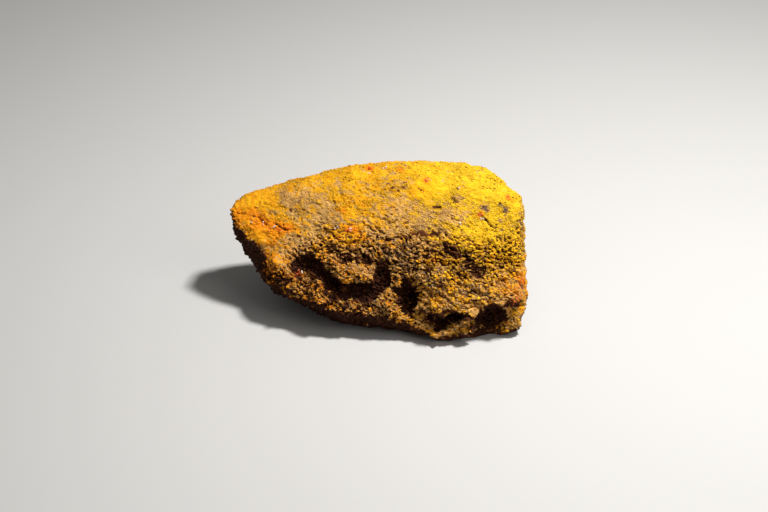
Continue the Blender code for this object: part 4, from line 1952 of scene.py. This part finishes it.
@dataclass(frozen=True)
class FloorFinish:
    """A plain pale floor with a faint grain."""

    pale: tuple = linear(196, 194, 190)
    paler: tuple = linear(200, 198, 195)

    def material(self) -> bpy.types.Material:
        """The floor as a material.

        Returns:
            The new material.
        """
        material, w, surface = new_material("pale_floor")
        cloud = w.noise(w.get("ShaderNodeTexCoord", output="Object"), 0.12, 3.0)
        w.feed(surface["Base Color"], w.mixed(cloud, self.pale, self.paler))
        w.feed(surface["Roughness"], 0.75)
        return material


# ---- Studio ----


@dataclass(frozen=True)
class Lamp:
    """A square soft light aimed at the stone."""

    name: str
    place: Place
    side: float
    power: float  # watts
    aim: Place = (0.0, 0.0, 15.0)

    def build(self) -> None:
        """Hangs the light."""
        light = bpy.data.lights.new(self.name, "AREA")
        light.size = self.side * MM
        light.energy = self.power
        spot, aim = Vector(self.place) * MM, Vector(self.aim) * MM
        turn = (aim - spot).to_track_quat("-Z", "Y").to_matrix().to_4x4()
        new_object(self.name, light).matrix_world = Matrix.Translation(spot) @ turn


@dataclass
class Studio:
    """The floor, the lights and the camera."""

    camera_place: Place = (1.38, -346.7, 225.5)
    camera_pitch: float = 31.48  # degrees below the horizon
    camera_roll: float = 0.75
    lens: float = 79.69
    sensor: float = 36.0
    floor_side: float = 6000.0
    key: Lamp = Lamp("key_light", (120.0, 4.0, 305.0), 42.0, 1.46)
    fill: Lamp = Lamp("fill_light", (330.0, -260.0, 330.0), 300.0, 0.50)
    world_color: tuple = (1.0, 0.99, 0.97, 1.0)
    world_light: float = 0.14

    def build(self) -> None:
        """Sets up the whole studio."""
        self.floor()
        self.key.build()
        self.fill.build()
        self.surroundings()
        self.camera()
        bpy.context.scene.view_settings.view_transform = "Standard"

    def floor(self) -> None:
        """A large pale floor that the stone rests on."""
        half = 0.5 * self.floor_side * MM
        mesh = bpy.data.meshes.new("floor")
        corners = [(-half, -half, 0.0), (half, -half, 0.0), (half, half, 0.0), (-half, half, 0.0)]
        mesh.from_pydata(corners, [], [(0, 1, 2, 3)])
        mesh.materials.append(FloorFinish().material())
        new_object("floor", mesh)

    def surroundings(self) -> None:
        """An even, weak light from all round."""
        world = bpy.data.worlds.new("surroundings")
        world.use_nodes = True
        background = world.node_tree.nodes["Background"].inputs
        background["Color"].default_value = self.world_color
        background["Strength"].default_value = self.world_light
        bpy.context.scene.world = world

    def camera(self) -> None:
        """A long lens that looks down on the stone's front."""
        data = bpy.data.cameras.new("camera")
        data.lens = self.lens
        data.sensor_width = self.sensor
        data.clip_start = 0.01
        data.clip_end = 20.0
        eye = new_object("camera", data)
        pitch = Matrix.Rotation(math.radians(90.0 - self.camera_pitch), 4, "X")
        roll = Matrix.Rotation(math.radians(-self.camera_roll), 4, "Z")
        eye.matrix_world = Matrix.Translation(Vector(self.camera_place) * MM) @ pitch @ roll
        bpy.context.scene.camera = eye


CRUMB_LAYERS = (
    CrumbLayer("coarse_crumbs", Field.CRUMBLY, 0.72, 1.5, 0.62, 1.20, 3),
    CrumbLayer("middle_crumbs", Field.CRUMBLY, 0.36, 5.4, 0.38, 0.66, 17, 0.12),
    CrumbLayer("small_crumbs", Field.DUST, 0.33, 3.4, 0.28, 0.46, 41),
    CrumbLayer("front_grains", Field.CRUMBLY, 0.24, 5.0, 0.22, 0.36, 53),
    CrumbLayer("fine_grains", Field.DUST, 0.25, 3.2, 0.20, 0.34, 29),
)


def main() -> None:
    """Dresses the stone, sets up the studio, and writes how large the model is."""
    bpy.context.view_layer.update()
    skin = Skin()
    pieces = [skin.build(CrustFinish())]
    kinds = ChipKinds()
    kinds.build()
    for layer in CRUMB_LAYERS:
        pieces.append(layer.build(skin, kinds, CrustFinish(grain_width=0.33, bump=0.09)))
    pale = CrystalFinish(linear(222, 190, 160), linear(240, 226, 210))
    pieces.append(Glints("pale_crystals", PALE_GLINTS, 0.46, 4, 5).build(skin, pale))
    red = CrystalFinish(linear(190, 36, 12), linear(232, 92, 30), 0.30)
    pieces.append(Glints("red_crystals", RED_GLINTS, 0.50, 5, 8).build(skin, red))
    for piece in pieces:
        log.info("%s: %d triangles", piece.name, triangle_count(piece.data))
    Studio().build()


if __name__ == "__main__":
    logging.basicConfig(level=logging.INFO, format="%(message)s")
    main()
